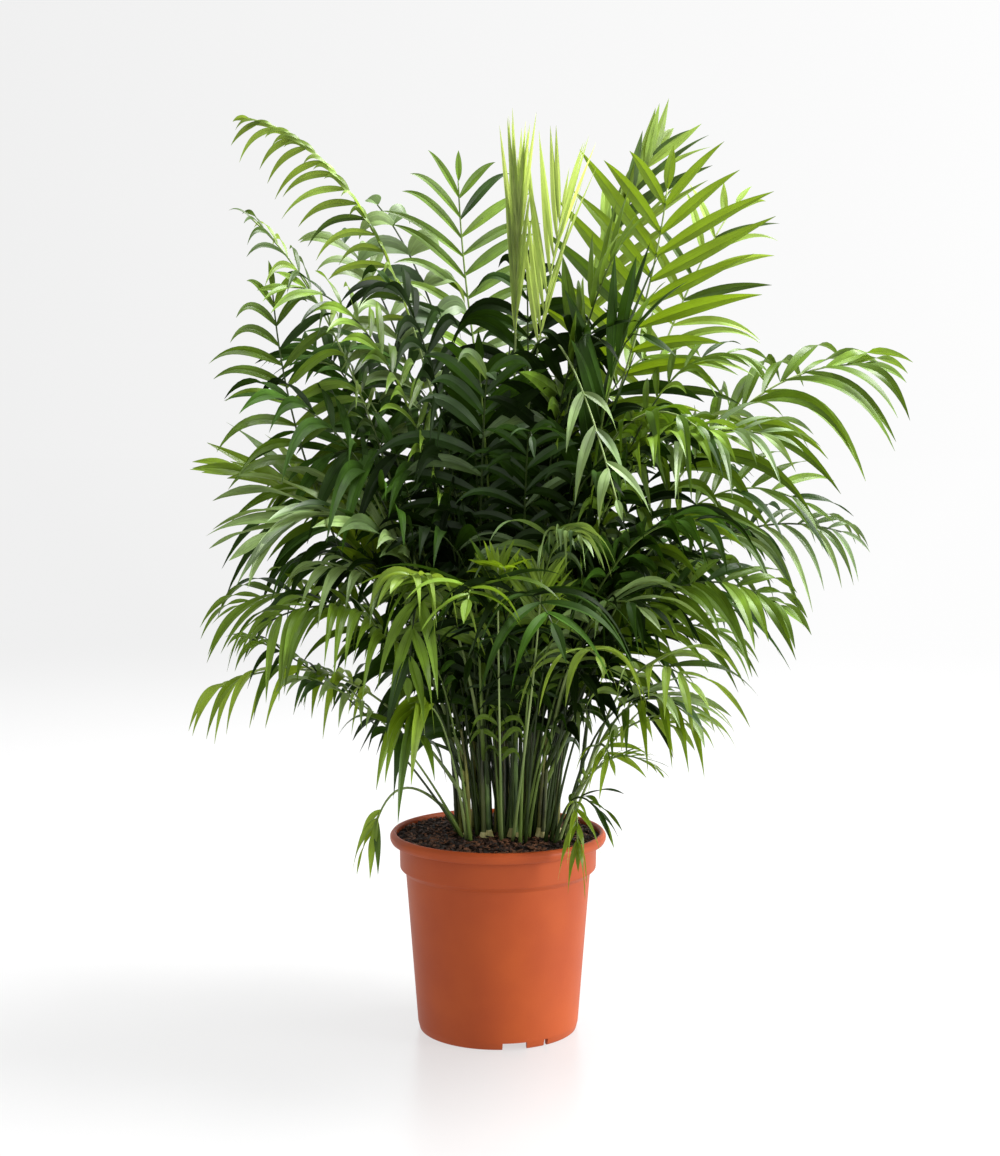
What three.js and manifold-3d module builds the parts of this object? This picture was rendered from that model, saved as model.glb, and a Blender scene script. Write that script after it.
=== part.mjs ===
// A parlor palm growing in its nursery pot, in millimetres.
// +Z is up, the photographed side faces -Y, and the middle of the pot's flat underside is the origin.
import * as THREE from "three";
import { mergeVertices } from "three/addons/utils/BufferGeometryUtils.js";
import Module from "manifold-3d";

const wasm = await Module();
wasm.setup();

const UP = new THREE.Vector3(0, 0, 1);
const radians = THREE.MathUtils.degToRad;

// The gap between pieces that rest against each other.
const GAP = 0.3;

// The pot: a tapering body, a collar band above it and a rolled rim.
const POT = {
  sides: 48,
  height: 222,
  rimRadius: 120,
  rimMouth: 113,
  rimFoot: 210,
  collarRadius: 109.5,
  collarFoot: 182,
  bodyRadius: 102.5,
  bodyTop: 176,
  baseRadius: 89.5,
  footRadius: 87.5,
  footHeight: 8,
  wall: 2.6,
};
// The underside stands on a middle disc and an outer ring, with a raised channel between them.
const CHANNEL = { inner: 58, outer: 83, slope: 3 };
// The drainage notches in the outer ring: bearing in degrees, and width.
const NOTCHES = [
  { bearing: -78, width: 27 },
  { bearing: 60, width: 27 },
  { bearing: 180, width: 27 },
  { bearing: -54, width: 5 },
];

const SOIL = { flatRadius: 88, top: 218, edgeTop: 217 };

// The stems, which lean away from the middle of the clump.
const CLUMP = { x: 15, y: 6 };
const STEM = { sides: 8, spread: 0.22, taper: 0.3, flare: 1.35, flareHeight: 12 };
const STEMS = [
  { x: -44, y: 8, height: 150, radius: 5.0 },
  { x: -32, y: -14, height: 120, radius: 5.0 },
  { x: -13, y: -16, height: 150, radius: 5.5 },
  { x: -24, y: 24, height: 240, radius: 6.0 },
  { x: 2, y: 6, height: 300, radius: 6.5 },
  { x: 18, y: -16, height: 130, radius: 5.5 },
  { x: 10, y: 32, height: 340, radius: 6.5 },
  { x: 32, y: 8, height: 230, radius: 6.0 },
  { x: 48, y: -14, height: 120, radius: 5.5 },
  { x: 42, y: 30, height: 290, radius: 6.0 },
  { x: 64, y: 8, height: 180, radius: 5.5 },
  { x: 78, y: -12, height: 70, radius: 4.5 },
];

// What a frond has unless its own row says otherwise.
const USUAL = {
  lean: 0.42, // share of the reach at which the middle line bends over
  petiole: 0.43, // bare share of the middle line
  leaf: 145, // length of the longest leaflet
  width: 0.14, // breadth of a leaflet over its length
  sag: 0.4, // how far the leaflets droop
  spread: 62, // angle between the lowest leaflets and the middle line, in degrees
  tilt: 25, // how far the blade is turned to the front, in degrees
  rise: 14, // how far the leaflets stand up from the blade, in degrees
  back: 1, // how far the leaflets of the hidden side spread, to those of the other
  tone: "mid",
  onto: null, // the frond whose stalk it shares
  foot: null, // height of its foot above the soil, where it isn't ranked on the stem
};

// The fronds that the photograph shows apart: name, stem, tip, height of the bend, and what differs.
const PLACED = [
  // The long arched one in front, which keeps its place before the rest
  ["front_arched", 6, [118, -200, 598], 965,
    { lean: 0.14, leaf: 78, width: 0.23, sag: 0.6, spread: 42, petiole: 0.72, tilt: 10, tone: "dusty" }],
  // The upper edge, from left to right
  ["top_left_arch", 3, [-276, 60, 1010], 968,
    { lean: 0.23, leaf: 100, width: 0.13, sag: 0.5, spread: 52, petiole: 0.52, tilt: 115, rise: 35,
      back: 0.25, tone: "fresh" }],
  ["top_left_thin", 0, [-262, -40, 890], 790,
    { leaf: 95, width: 0.12, sag: 0.5, petiole: 0.5, tone: "fresh" }],
  ["upper_left_back", 3, [-195, 150, 890], 850,
    { leaf: 115, width: 0.15, sag: 0.5, tilt: 10, tone: "dusty" }],
  ["top_left_inner", 4, [-140, 150, 925], 830,
    { leaf: 80, width: 0.36, sag: 0.6, petiole: 0.6, tilt: 30, tone: "dusty" }],
  ["top_middle", 6, [-46, 140, 952], 795,
    { lean: 0.9, leaf: 135, width: 0.1, sag: 0.25, spread: 64, tilt: 0 }],
  ["young_spear", 6, [10, 40, 918], 860,
    { lean: 0.5, leaf: 150, width: 0.08, sag: 0, spread: 6, petiole: 0.6, tilt: 60, tone: "young" }],
  ["young_fan", 6, [66, 30, 906], 780,
    { onto: "young_spear", lean: 0.5, leaf: 165, width: 0.075, sag: 0, spread: 26, petiole: 0.55,
      tilt: 60, tone: "young" }],
  ["top_right_back", 9, [188, 180, 996], 845,
    { lean: 0.3, leaf: 130, width: 0.12, sag: 0.06, spread: 40, petiole: 0.55, tilt: 60, rise: 30,
      back: 0.3, tone: "fresh" }],
  ["top_right_front", 9, [186, 30, 930], 762,
    { lean: 0.85, leaf: 155, width: 0.12, sag: 0.08, petiole: 0.54, tilt: 75, tone: "bright" }],
  ["upper_right_out", 10, [275, 140, 925], 790,
    { lean: 0.5, leaf: 120, width: 0.1, sag: 0.25, petiole: 0.45, tilt: 45, tone: "fresh" }],
  ["upper_right_edge", 10, [165, -60, 765], 800,
    { lean: 0.5, leaf: 180, width: 0.11, sag: 0.12, spread: 32, petiole: 0.5, tilt: 40 }],
  ["upper_right_inner", 7, [130, -70, 860], 800,
    { lean: 0.5, leaf: 150, sag: 0.2, petiole: 0.45, tilt: 50 }],
  // The right side, from top to bottom
  ["right_reach", 10, [408, 50, 738], 748,
    { lean: 0.42, leaf: 165, width: 0.11, sag: 0.5, petiole: 0.48, tilt: 35, back: 0.3 }],
  ["right_upper", 9, [285, -110, 660], 700,
    { leaf: 130, width: 0.11, sag: 0.45, tilt: 30, tone: "dusty" }],
  ["front_hanging", 9, [205, -120, 670], 740,
    { onto: "right_upper", leaf: 90, width: 0.22, sag: 1.0, spread: 50, tilt: 10, tone: "bright" }],
  ["right_middle", 10, [372, -30, 556], 608,
    { leaf: 110, width: 0.1, sag: 0.6, tilt: 35, tone: "dusty" }],
  ["right_middle_high", 10, [332, -30, 587], 665,
    { onto: "right_middle", leaf: 120, width: 0.11, sag: 0.3, tilt: 35 }],
  ["right_lower", 8, [296, -100, 482], 575,
    { leaf: 105, width: 0.16, sag: 0.4, spread: 56, tilt: 35 }],
  ["right_back_low", 10, [275, 130, 455], 550,
    { leaf: 140, tilt: 20, tone: "dark" }],
  ["right_under", 8, [240, -50, 440], 500,
    { leaf: 120, width: 0.1, sag: 0.5, tilt: 25 }],
  ["right_low", 11, [212, -90, 355], 430,
    { leaf: 95, width: 0.17, sag: 0.6, tilt: 20, tone: "bright" }],
  ["right_low_light", 11, [205, -120, 405], 460,
    { onto: "right_low", leaf: 120, width: 0.13, sag: 0.45, tilt: 20, tone: "fresh" }],
  ["right_low_small", 11, [121, -60, 313], 345,
    { onto: "right_low", lean: 0.5, leaf: 58, sag: 0.4, tilt: 45, tone: "bright" }],
  // The left side, from top to bottom
  ["left_high", 0, [-238, -60, 812], 560,
    { lean: 0.9, leaf: 115, width: 0.12, sag: 0.4, spread: 72, petiole: 0.5, tilt: 85 }],
  ["left_upper", 0, [-232, 100, 765], 740,
    { leaf: 135, width: 0.12, sag: 0.5, tilt: 30, tone: "dark" }],
  ["left_middle_high", 1, [-235, -110, 700], 690,
    { leaf: 150, width: 0.12, sag: 0.5, tilt: 30, tone: "dark" }],
  ["left_middle_dark", 3, [-230, 60, 605], 655,
    { leaf: 110, width: 0.1, sag: 0.5, spread: 48, tilt: 30 }],
  ["left_middle", 1, [-272, 0, 616], 600,
    { leaf: 150, width: 0.15, sag: 0.15, spread: 24, tone: "bright" }],
  ["left_broad", 2, [-232, -150, 562], 640,
    { leaf: 150, width: 0.13, sag: 0.3, spread: 34, tilt: 30, tone: "dusty" }],
  ["left_back", 3, [-260, 170, 570], 610,
    { leaf: 140, sag: 0.5, tilt: 30, tone: "dark" }],
  ["left_lower", 0, [-290, 20, 470], 536,
    { leaf: 115, width: 0.13, sag: 0.5, spread: 50, tilt: 30 }],
  ["left_low", 1, [-240, -120, 470], 530,
    { leaf: 120, width: 0.15, sag: 0.75, spread: 55, tilt: 25 }],
  ["left_low_long", 1, [-303, -50, 388], 460,
    { lean: 0.45, leaf: 126, width: 0.16, sag: 0.8, petiole: 0.45, tilt: 0, tone: "bright" }],
  ["left_low_front", 1, [-90, -190, 418], 645,
    { onto: "left_low", lean: 0.6, leaf: 84, width: 0.17, sag: 0.6, spread: 28, petiole: 0.55,
      tilt: 10 }],
  // The front
  ["front_dark", 4, [-20, -60, 735], 620,
    { lean: 0.5, leaf: 110, width: 0.16, sag: 0.2, petiole: 0.5, tilt: 60, tone: "dark" }],
  ["front_left_light", 2, [-104, -205, 520], 540,
    { leaf: 85, width: 0.18, sag: 0.8, tilt: 20, tone: "fresh" }],
  ["front_middle", 5, [65, -170, 565], 580,
    { leaf: 125, width: 0.1, sag: 0.6, tone: "dusty" }],
  ["front_fan", 5, [5, -190, 530], 520,
    { onto: "front_middle", lean: 0.5, leaf: 90, width: 0.1, sag: 0.2, tilt: 60, tone: "bright" }],
  ["front_low_right", 8, [145, -150, 485], 520,
    { leaf: 120, width: 0.12, sag: 0.5, tilt: 30, tone: "dusty" }],
  ["front_right_light", 8, [100, -190, 440], 460,
    { onto: "front_low_right", leaf: 95, sag: 0.8, tilt: 20, tone: "fresh" }],
  ["seedling_left", 0, [-135, -60, 230], 320,
    { foot: 16, lean: 0.75, leaf: 52, width: 0.2, sag: 0.7, spread: 40, petiole: 0.8, tilt: 0,
      tone: "bright" }],
  ["hanging_right", 11, [84, -118, 226], 304,
    { foot: 24, lean: 0.8, leaf: 58, width: 0.13, sag: 0.4, spread: 22, petiole: 0.5, tilt: 0,
      tone: "bright" }],
];

// The fronds behind and between them, in rounds of pairs that share a stalk.
const GOLDEN_ANGLE = 137.508;
const ROUNDS = [
  { name: "inner_high", pairs: 2, bearing: 60, reach: [70, 160], tip: [770, 850], rise: [10, 50] },
  { name: "back_high", pairs: 2, bearing: 20, reach: [190, 260], tip: [640, 760], rise: [30, 90] },
  { name: "back_low", pairs: 3, bearing: 100, reach: [210, 280], tip: [480, 600], rise: [30, 90] },
  { name: "middle", pairs: 3, bearing: 230, reach: [100, 180], tip: [500, 620], rise: [10, 60] },
  { name: "low", pairs: 1, bearing: 200, reach: [150, 190], tip: [400, 450], rise: [20, 60] },
];
const ROUND_LEAF = [125, 155];
const ROUND_WIDTH = 0.115;
// The second frond of a pair turns aside and hangs lower.
const SECOND = { turn: 38, drop: 70 };

// The stalk and middle line of a frond, with a three-sided section.
const RIB = { foot: 2.4, tip: 1.1, above: 0.4, below: 1.1 };
const FOOT_STEP = 18; // height between the feet of the fronds on a stem
const LOWEST_FOOT = 14;
const FORK = 30; // distance along a shared stalk to the second frond's foot

// Ways to move a frond that would touch another: turned about the clump, in degrees, and bent higher.
const TURNS = [0, 2.5, -2.5, 5, -5, 7.5, -7.5, 10, -10, 13, -13, 17, -17, 22, -22];
const LIFTS = [0, 20, -20, 40, -40, 70, -70, 100];
const CLEAR_STEP = 5;
const RIB_CLEAR = 7;

// A leaflet: raised at its foot, ridged along its middle, shortened where it would touch something.
const DROOP = 2.5; // power of the share of its length by which it droops
const END_LEAF = 0.75; // length of the leaflet at a frond's tip, to the others there
const LEAF_MIDDLE = 0.42; // share of its length at which it is broadest
const LEAF_DEPTH = 2.4;
const LEAF_CLEAR = 0.4;
const LEAF_TRIES = [
  { scale: 1, droop: 0 },
  { scale: 1, droop: 0.12 },
  { scale: 1, droop: -0.12 },
  { scale: 0.8, droop: 0 },
  { scale: 0.8, droop: 0.2 },
  { scale: 0.8, droop: -0.2 },
  { scale: 0.6, droop: 0 },
];
const PAIR_SPACING = 36; // along the middle line
const BROADER = 1.3; // these leaflets are fewer than the palm's own, so each is broader

const TONES = {
  dark: "#24481c",
  mid: "#3c6b2a",
  fresh: "#6f9c4a",
  bright: "#6c9a2e",
  young: "#a9c44a",
  dusty: "#6b8a64",
};

// A seeded row of numbers from 0 to 1.
class Chance {
  constructor(seed) {
    this.state = seed;
  }
  next() {
    this.state = (this.state * 1664525 + 1013904223) % 4294967296;
    return this.state / 4294967296;
  }
  between([low, high]) {
    return low + (high - low) * this.next();
  }
}

// Points and faces of a closed body, gathered one by one.
class Skin {
  points = [];
  faces = [];
  point(p) {
    this.points.push(p.x, p.y, p.z);
    return this.points.length / 3 - 1;
  }
  ring(places) {
    return places.map((p) => this.point(p));
  }
  face(a, b, c) {
    this.faces.push(a, b, c);
  }
  // The wall between two rings with as many points, each counter-clockwise as seen from the second.
  wall(first, second) {
    first.forEach((a, i) => {
      const j = (i + 1) % first.length;
      this.quad(a, first[j], second[j], second[i]);
    });
  }
  quad(a, b, c, d) {
    this.face(a, b, c);
    this.face(a, c, d);
  }
  lid(ring) {
    for (let i = 1; i < ring.length - 1; i++) this.face(ring[0], ring[i], ring[i + 1]);
  }
  geometry() {
    const made = new THREE.BufferGeometry();
    made.setAttribute("position", new THREE.Float32BufferAttribute(this.points, 3));
    made.setIndex(this.faces);
    return made;
  }
}

function solidOf(geometry) {
  const bare = geometry.clone();
  bare.deleteAttribute("normal");
  bare.deleteAttribute("uv");
  const merged = mergeVertices(bare, 1e-4);
  return new wasm.Manifold(
    new wasm.Mesh({
      numProp: 3,
      vertProperties: new Float32Array(merged.attributes.position.array),
      triVerts: new Uint32Array(merged.index.array),
    }),
  );
}

function geometryOf(solid) {
  const mesh = solid.getMesh();
  const made = new THREE.BufferGeometry();
  made.setAttribute("position", new THREE.BufferAttribute(new Float32Array(mesh.vertProperties), 3));
  made.setIndex(new THREE.BufferAttribute(new Uint32Array(mesh.triVerts), 1));
  return made;
}

// A lathed body that stands on +Z, from its profile of radius and height.
function turned(profile) {
  const outline = profile.map(([radius, height]) => new THREE.Vector2(radius, height));
  return new THREE.LatheGeometry(outline, POT.sides).rotateX(Math.PI / 2);
}

function potGeometry() {
  const { wall, rimRadius, rimMouth, height } = POT;
  const inside = POT.footHeight + wall;
  const body = turned([
    [0, 0],
    [CHANNEL.inner, 0],
    [CHANNEL.inner + CHANNEL.slope, POT.footHeight],
    [CHANNEL.outer, POT.footHeight],
    [CHANNEL.outer + 1, 0],
    [POT.footRadius, 0],
    [POT.baseRadius, POT.footHeight],
    [POT.bodyRadius, POT.bodyTop],
    [POT.collarRadius - 0.5, POT.collarFoot],
    [POT.collarRadius, POT.rimFoot - 1],
    [rimRadius - 2, POT.rimFoot],
    [rimRadius, POT.rimFoot + 4],
    [rimRadius, height - 4],
    [rimRadius - 3, height],
    [rimMouth + 1.5, height],
    [rimMouth, height - 2],
    [rimMouth, POT.rimFoot + 3],
    [POT.collarRadius - wall, POT.rimFoot - 2],
    [POT.collarRadius - wall, POT.collarFoot + 1],
    [POT.bodyRadius - wall, POT.bodyTop - 2],
    [POT.baseRadius - wall, inside],
    [CHANNEL.inner - 1, inside],
    [CHANNEL.inner - 4, wall],
    [0, wall],
  ]);
  let pot = solidOf(body);
  for (const notch of NOTCHES) {
    const reach = POT.rimRadius - CHANNEL.outer + 6;
    const cutter = new THREE.BoxGeometry(reach, notch.width, 2 * (POT.footHeight - 0.5))
      .translate(CHANNEL.outer - 6 + reach / 2, 0, 0)
      .rotateZ(radians(notch.bearing));
    pot = pot.subtract(solidOf(cutter));
  }
  return geometryOf(pot);
}

function soilGeometry() {
  const { wall } = POT;
  const inside = POT.footHeight + wall + GAP;
  return turned([
    [0, wall + GAP],
    [CHANNEL.inner - 4 - 2 * GAP, wall + GAP],
    [CHANNEL.inner - 1 - 2 * GAP, inside],
    [POT.baseRadius - wall - 2 * GAP, inside],
    [POT.bodyRadius - wall - 2 * GAP, POT.bodyTop - 1],
    [POT.collarRadius - wall - 2 * GAP, POT.collarFoot + 2],
    [POT.collarRadius - wall - 2 * GAP, POT.rimFoot - 1.5],
    [POT.rimMouth - 2 * GAP, POT.rimFoot + 4],
    [POT.rimMouth - 2 * GAP, SOIL.edgeTop - 1],
    [POT.rimMouth - 3, SOIL.edgeTop],
    [SOIL.flatRadius, SOIL.top],
    [0, SOIL.top],
  ]);
}

function stemCentre(stem, height) {
  const lean = STEM.spread * (height / stem.height) ** 1.5;
  return new THREE.Vector3(
    stem.x + (stem.x - CLUMP.x) * lean,
    stem.y + (stem.y - CLUMP.y) * lean,
    SOIL.top + GAP + height,
  );
}

function stemRadius(stem, height) {
  const flare = (STEM.flare - 1) * Math.max(0, 1 - height / STEM.flareHeight) ** 2;
  return stem.radius * (1 - (STEM.taper * height) / stem.height) * (1 + flare);
}

function stemGeometry(stem) {
  const skin = new Skin();
  const { flareHeight } = STEM;
  const heights = [0, flareHeight / 3, flareHeight, 0.35 * stem.height, 0.7 * stem.height, stem.height];
  const rings = heights.map((height) => {
    const centre = stemCentre(stem, height);
    const radius = stemRadius(stem, height);
    const around = [];
    for (let i = 0; i < STEM.sides; i++) {
      const turn = (2 * Math.PI * i) / STEM.sides;
      around.push(new THREE.Vector3(radius * Math.cos(turn), radius * Math.sin(turn), 0).add(centre));
    }
    return skin.ring(around);
  });
  skin.lid([...rings[0]].reverse());
  rings.slice(1).forEach((ring, i) => skin.wall(rings[i], ring));
  skin.lid(rings.at(-1));
  return skin.geometry();
}

// The stem that suits a new frond: near it in bearing, and not yet crowded.
function freeStem(bearing, tipHeight, crowd) {
  let best = 0;
  let least = Infinity;
  STEMS.forEach((stem, s) => {
    const offX = stem.x - CLUMP.x - 35 * Math.cos(bearing);
    const offY = stem.y - CLUMP.y - 35 * Math.sin(bearing);
    const heightMiss = Math.abs(stem.height - (tipHeight - 500) * 0.6);
    const cost = Math.hypot(offX, offY) + 14 * crowd[s] + 0.15 * heightMiss;
    if (cost < least) {
      least = cost;
      best = s;
    }
  });
  return best;
}

// Every frond's row in full, the placed ones first.
function frondRows() {
  const rows = PLACED.map(([name, stem, tip, bend, differs]) => {
    return { ...USUAL, name, stem, tip, bend, ...differs };
  });
  const crowd = STEMS.map((_, s) => rows.filter((row) => row.stem === s).length);
  const chance = new Chance(20260);
  const tones = ["dark", "mid", "dark", "dusty", "mid", "dark"];
  for (const round of ROUNDS) {
    for (let k = 0; k < round.pairs; k++) {
      let first = null;
      for (const name of ["a", "b"]) {
        const turn = first ? SECOND.turn : 0;
        const bearing = radians(round.bearing + k * GOLDEN_ANGLE + turn);
        const reach = chance.between(round.reach);
        const tipHeight = chance.between(round.tip) - (first ? SECOND.drop : 0);
        const bend = tipHeight + chance.between(round.rise);
        const leaf = chance.between(ROUND_LEAF);
        const stem = first ? first.stem : freeStem(bearing, tipHeight, crowd);
        const row = {
          ...USUAL,
          name: `${round.name}_${k + 1}${name}`,
          stem,
          tip: [CLUMP.x + reach * Math.cos(bearing), CLUMP.y + reach * Math.sin(bearing), tipHeight],
          bend,
          leaf,
          width: ROUND_WIDTH,
          sag: chance.between([0.3, 0.6]),
          tilt: chance.between([0, 40]),
          tone: tones[Math.floor(6 * chance.next())],
          onto: first ? first.name : null,
        };
        crowd[stem] += 1;
        rows.push(row);
        first ??= row;
      }
    }
  }
  // On each stem the frond with the highest tip stands on the stem's own tip and the others lower down.
  STEMS.forEach((stem, s) => {
    rows
      .filter((row) => row.stem === s && !row.onto && !row.foot)
      .sort((a, b) => b.tip[2] - a.tip[2])
      .forEach((row, k) => {
        row.foot = Math.max(stem.height - FOOT_STEP * k, LOWEST_FOOT);
      });
  });
  return rows;
}

// Where a frond's stalk starts, for a tip in the given place.
function frondFoot(row, tip, lines) {
  if (row.onto) return alongLine(lines.get(row.onto), FORK / lines.get(row.onto).length).place;
  const stem = STEMS[row.stem];
  const foot = stemCentre(stem, row.foot);
  if (row.foot === stem.height) return foot.setZ(foot.z + GAP);
  const away = new THREE.Vector3(tip.x - foot.x, tip.y - foot.y, 0).normalize();
  return foot.addScaledVector(away, stemRadius(stem, row.foot) + GAP + 1.2 * RIB.above * RIB.foot);
}

// A frond's middle line: evenly spaced points along a bent curve from its foot to its tip.
function middleLine(row, turn, lift, lines) {
  const swing = radians(turn);
  const [x, y, z] = row.tip;
  const tip = new THREE.Vector3(x - CLUMP.x, y - CLUMP.y, z).applyAxisAngle(UP, swing);
  tip.x += CLUMP.x;
  tip.y += CLUMP.y;
  const foot = frondFoot(row, tip, lines);
  const bend = foot.clone().lerp(tip, row.lean).setZ(row.bend + lift);
  const fine = 96;
  const curve = [];
  for (let i = 0; i <= fine; i++) {
    const t = i / fine;
    curve.push(
      foot
        .clone()
        .multiplyScalar((1 - t) ** 2)
        .addScaledVector(bend, 2 * t * (1 - t))
        .addScaledVector(tip, t * t),
    );
  }
  const along = [0];
  for (let i = 1; i <= fine; i++) along.push(along[i - 1] + curve[i].distanceTo(curve[i - 1]));
  const length = along[fine];
  const count = Math.ceil(length / CLEAR_STEP);
  const points = [];
  for (let i = 0, k = 1; i <= count; i++) {
    const wanted = (length * i) / count;
    while (k < fine && along[k] < wanted) k++;
    const share = (wanted - along[k - 1]) / (along[k] - along[k - 1]);
    points.push(curve[k - 1].clone().lerp(curve[k], share));
  }
  const away = new THREE.Vector3(tip.x - foot.x, tip.y - foot.y, 0).normalize();
  return { points, length, away, roll: radians(row.tilt) * away.x, petiole: row.petiole };
}

// The place, direction, side and face of a middle line at a share of its length.
function alongLine(line, share) {
  const last = line.points.length - 1;
  const k = Math.min(Math.floor(share * last), last - 1);
  const place = line.points[k].clone().lerp(line.points[k + 1], share * last - k);
  const ahead = line.points[k + 1].clone().sub(line.points[k]).normalize();
  const level = UP.clone().cross(line.away);
  const roll = line.roll * Math.min(1, share / line.petiole);
  const side = level.clone().applyAxisAngle(ahead, roll);
  const face = ahead.clone().cross(side).normalize();
  return { place, ahead, side, face };
}

// The nearest that a middle line comes to the stems and to the middle lines laid before it.
function clearance(row, line, laid) {
  let least = Infinity;
  const stalk = laid.get(row.onto);
  line.points.forEach((p, i) => {
    STEMS.forEach((stem, s) => {
      const height = p.z - SOIL.top - GAP;
      if (height > stem.height + RIB_CLEAR || (s === row.stem && i < 3)) return;
      const level = Math.min(Math.max(height, 0), stem.height);
      const centre = stemCentre(stem, level);
      const apart = p.distanceTo(centre) - stemRadius(stem, level);
      least = Math.min(least, s === row.stem ? apart + RIB_CLEAR - 2.9 : apart + 3);
    });
    for (const other of laid.values()) {
      if (other === stalk && i * CLEAR_STEP < 50) continue;
      for (const q of other.points) least = Math.min(least, p.distanceTo(q));
    }
  });
  return least;
}

// Lays every frond's middle line, moving each a little until it passes clear of the rest.
function layLines(rows) {
  const laid = new Map();
  for (const row of rows) {
    let best = null;
    search: for (const lift of LIFTS) {
      for (const turn of TURNS) {
        const line = middleLine(row, turn, lift, laid);
        line.clear = clearance(row, line, laid);
        if (!best || line.clear > best.clear) best = line;
        if (best.clear >= RIB_CLEAR) break search;
      }
    }
    laid.set(row.name, best);
  }
  return laid;
}

// The three corners of the stalk at a share of its length; the foot is cut level.
function ribSection(line, share, row) {
  const { place, ahead, side, face } = alongLine(line, share);
  const start = row.onto ? 0.7 * RIB.foot : RIB.foot;
  const half = start + (RIB.tip - start) * share;
  const corners = [
    side.clone().multiplyScalar(half).addScaledVector(face, half * RIB.above),
    side.clone().multiplyScalar(-half).addScaledVector(face, half * RIB.above),
    face.clone().multiplyScalar(-half * RIB.below),
  ];
  return corners.map((corner) => {
    if (share === 0 && !row.onto) corner.addScaledVector(ahead, -corner.z / ahead.z);
    return corner.add(place);
  });
}

const pairCount = (line) => Math.max(2, Math.round(((1 - line.petiole) * line.length) / PAIR_SPACING));

const leafReach = (u) => Math.sin(Math.PI * (0.22 + 0.68 * u)) ** 0.7;

function leafAngle(u, row) {
  const last = Math.min(30, 0.6 * row.spread);
  return radians(row.spread - (row.spread - last) * u ** 2.2);
}

// The corners of a leaflet at its broadest, and its point. The hand is 1 or -1, or 0 at the tip.
function leafPlaces(line, row, u, hand, { scale, droop }) {
  const share = row.petiole + (1 - row.petiole) * u;
  const { place, ahead, side, face } = alongLine(line, Math.min(share, 1));
  const rise = radians(row.rise);
  const out = side.clone().multiplyScalar(hand * Math.cos(rise)).addScaledVector(face, Math.sin(rise));
  const close = hand * line.away.x > 0 ? row.back : 1;
  const angle = hand ? close * leafAngle(u, row) : 0;
  const forward = ahead.clone().multiplyScalar(Math.cos(angle)).addScaledVector(out, Math.sin(angle));
  const length = row.leaf * leafReach(u) * scale * (hand ? 1 : END_LEAF);
  const sag = row.sag * (hand ? 1 : 0.5) + droop;
  const spine = (t) =>
    place
      .clone()
      .addScaledVector(forward, length * (t - 0.25 * sag * t ** DROOP))
      .addScaledVector(UP, -length * sag * t ** DROOP);
  const middle = spine(LEAF_MIDDLE);
  const point = spine(1);
  const along = point.clone().sub(place).normalize();
  const edge = hand ? ahead : side;
  const across = edge.clone().addScaledVector(along, -along.dot(edge)).normalize();
  const over = across.clone().cross(along).multiplyScalar(hand || -1);
  const half = 0.5 * BROADER * row.width * row.leaf * (0.5 + 0.5 * leafReach(u));
  const low = middle.clone().addScaledVector(over, -0.3 * LEAF_DEPTH);
  return {
    back: low.clone().addScaledVector(across, -half),
    front: low.clone().addScaledVector(across, half),
    ridge: middle.clone().addScaledVector(over, 0.7 * LEAF_DEPTH),
    point,
  };
}

// Grows a leaflet out of the four corners of one side of the stalk.
function addLeaf(skin, [q0, q1, q2, q3], places, hand) {
  const back = skin.point(places.back);
  const front = skin.point(places.front);
  const ridge = skin.point(places.ridge);
  const point = skin.point(places.point);
  skin.face(q0, q1, back);
  if (hand > 0) {
    skin.face(q1, ridge, back);
    skin.face(q1, q2, ridge);
    skin.face(q2, front, ridge);
    skin.face(q2, q3, front);
    skin.face(q3, q0, back);
    skin.face(q3, back, front);
    skin.face(back, ridge, point);
    skin.face(ridge, front, point);
    skin.face(front, back, point);
  } else {
    skin.face(q1, front, back);
    skin.face(q1, q2, front);
    skin.face(q2, q3, front);
    skin.face(q3, ridge, front);
    skin.face(q3, q0, ridge);
    skin.face(q0, back, ridge);
    skin.face(back, front, point);
    skin.face(front, ridge, point);
    skin.face(ridge, back, point);
  }
}

// Closes the stalk with the leaflet at its tip.
function addTipLeaf(skin, [s, n, b], places) {
  const right = skin.point(places.front);
  const left = skin.point(places.back);
  const ridge = skin.point(places.ridge);
  const point = skin.point(places.point);
  skin.face(s, n, ridge);
  skin.face(s, ridge, right);
  skin.face(n, left, ridge);
  skin.face(n, b, left);
  skin.face(b, s, right);
  skin.face(b, right, left);
  skin.face(right, ridge, point);
  skin.face(ridge, left, point);
  skin.face(left, right, point);
}

// Shares of the middle line at which the stalk has a section: four steps of bare stalk,
// then a foot and a gap for each pair of leaflets.
function ribShares(line, row) {
  const shares = [0, 0.25, 0.5, 0.75].map((share) => share * row.petiole);
  const pairs = pairCount(line);
  const feet = 12 / line.length;
  for (let k = 0; k < pairs; k++) {
    const start = row.petiole + ((1 - row.petiole) * (k + 0.2)) / pairs;
    shares.push(start, start + feet);
  }
  shares.push(1);
  return shares;
}

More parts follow.
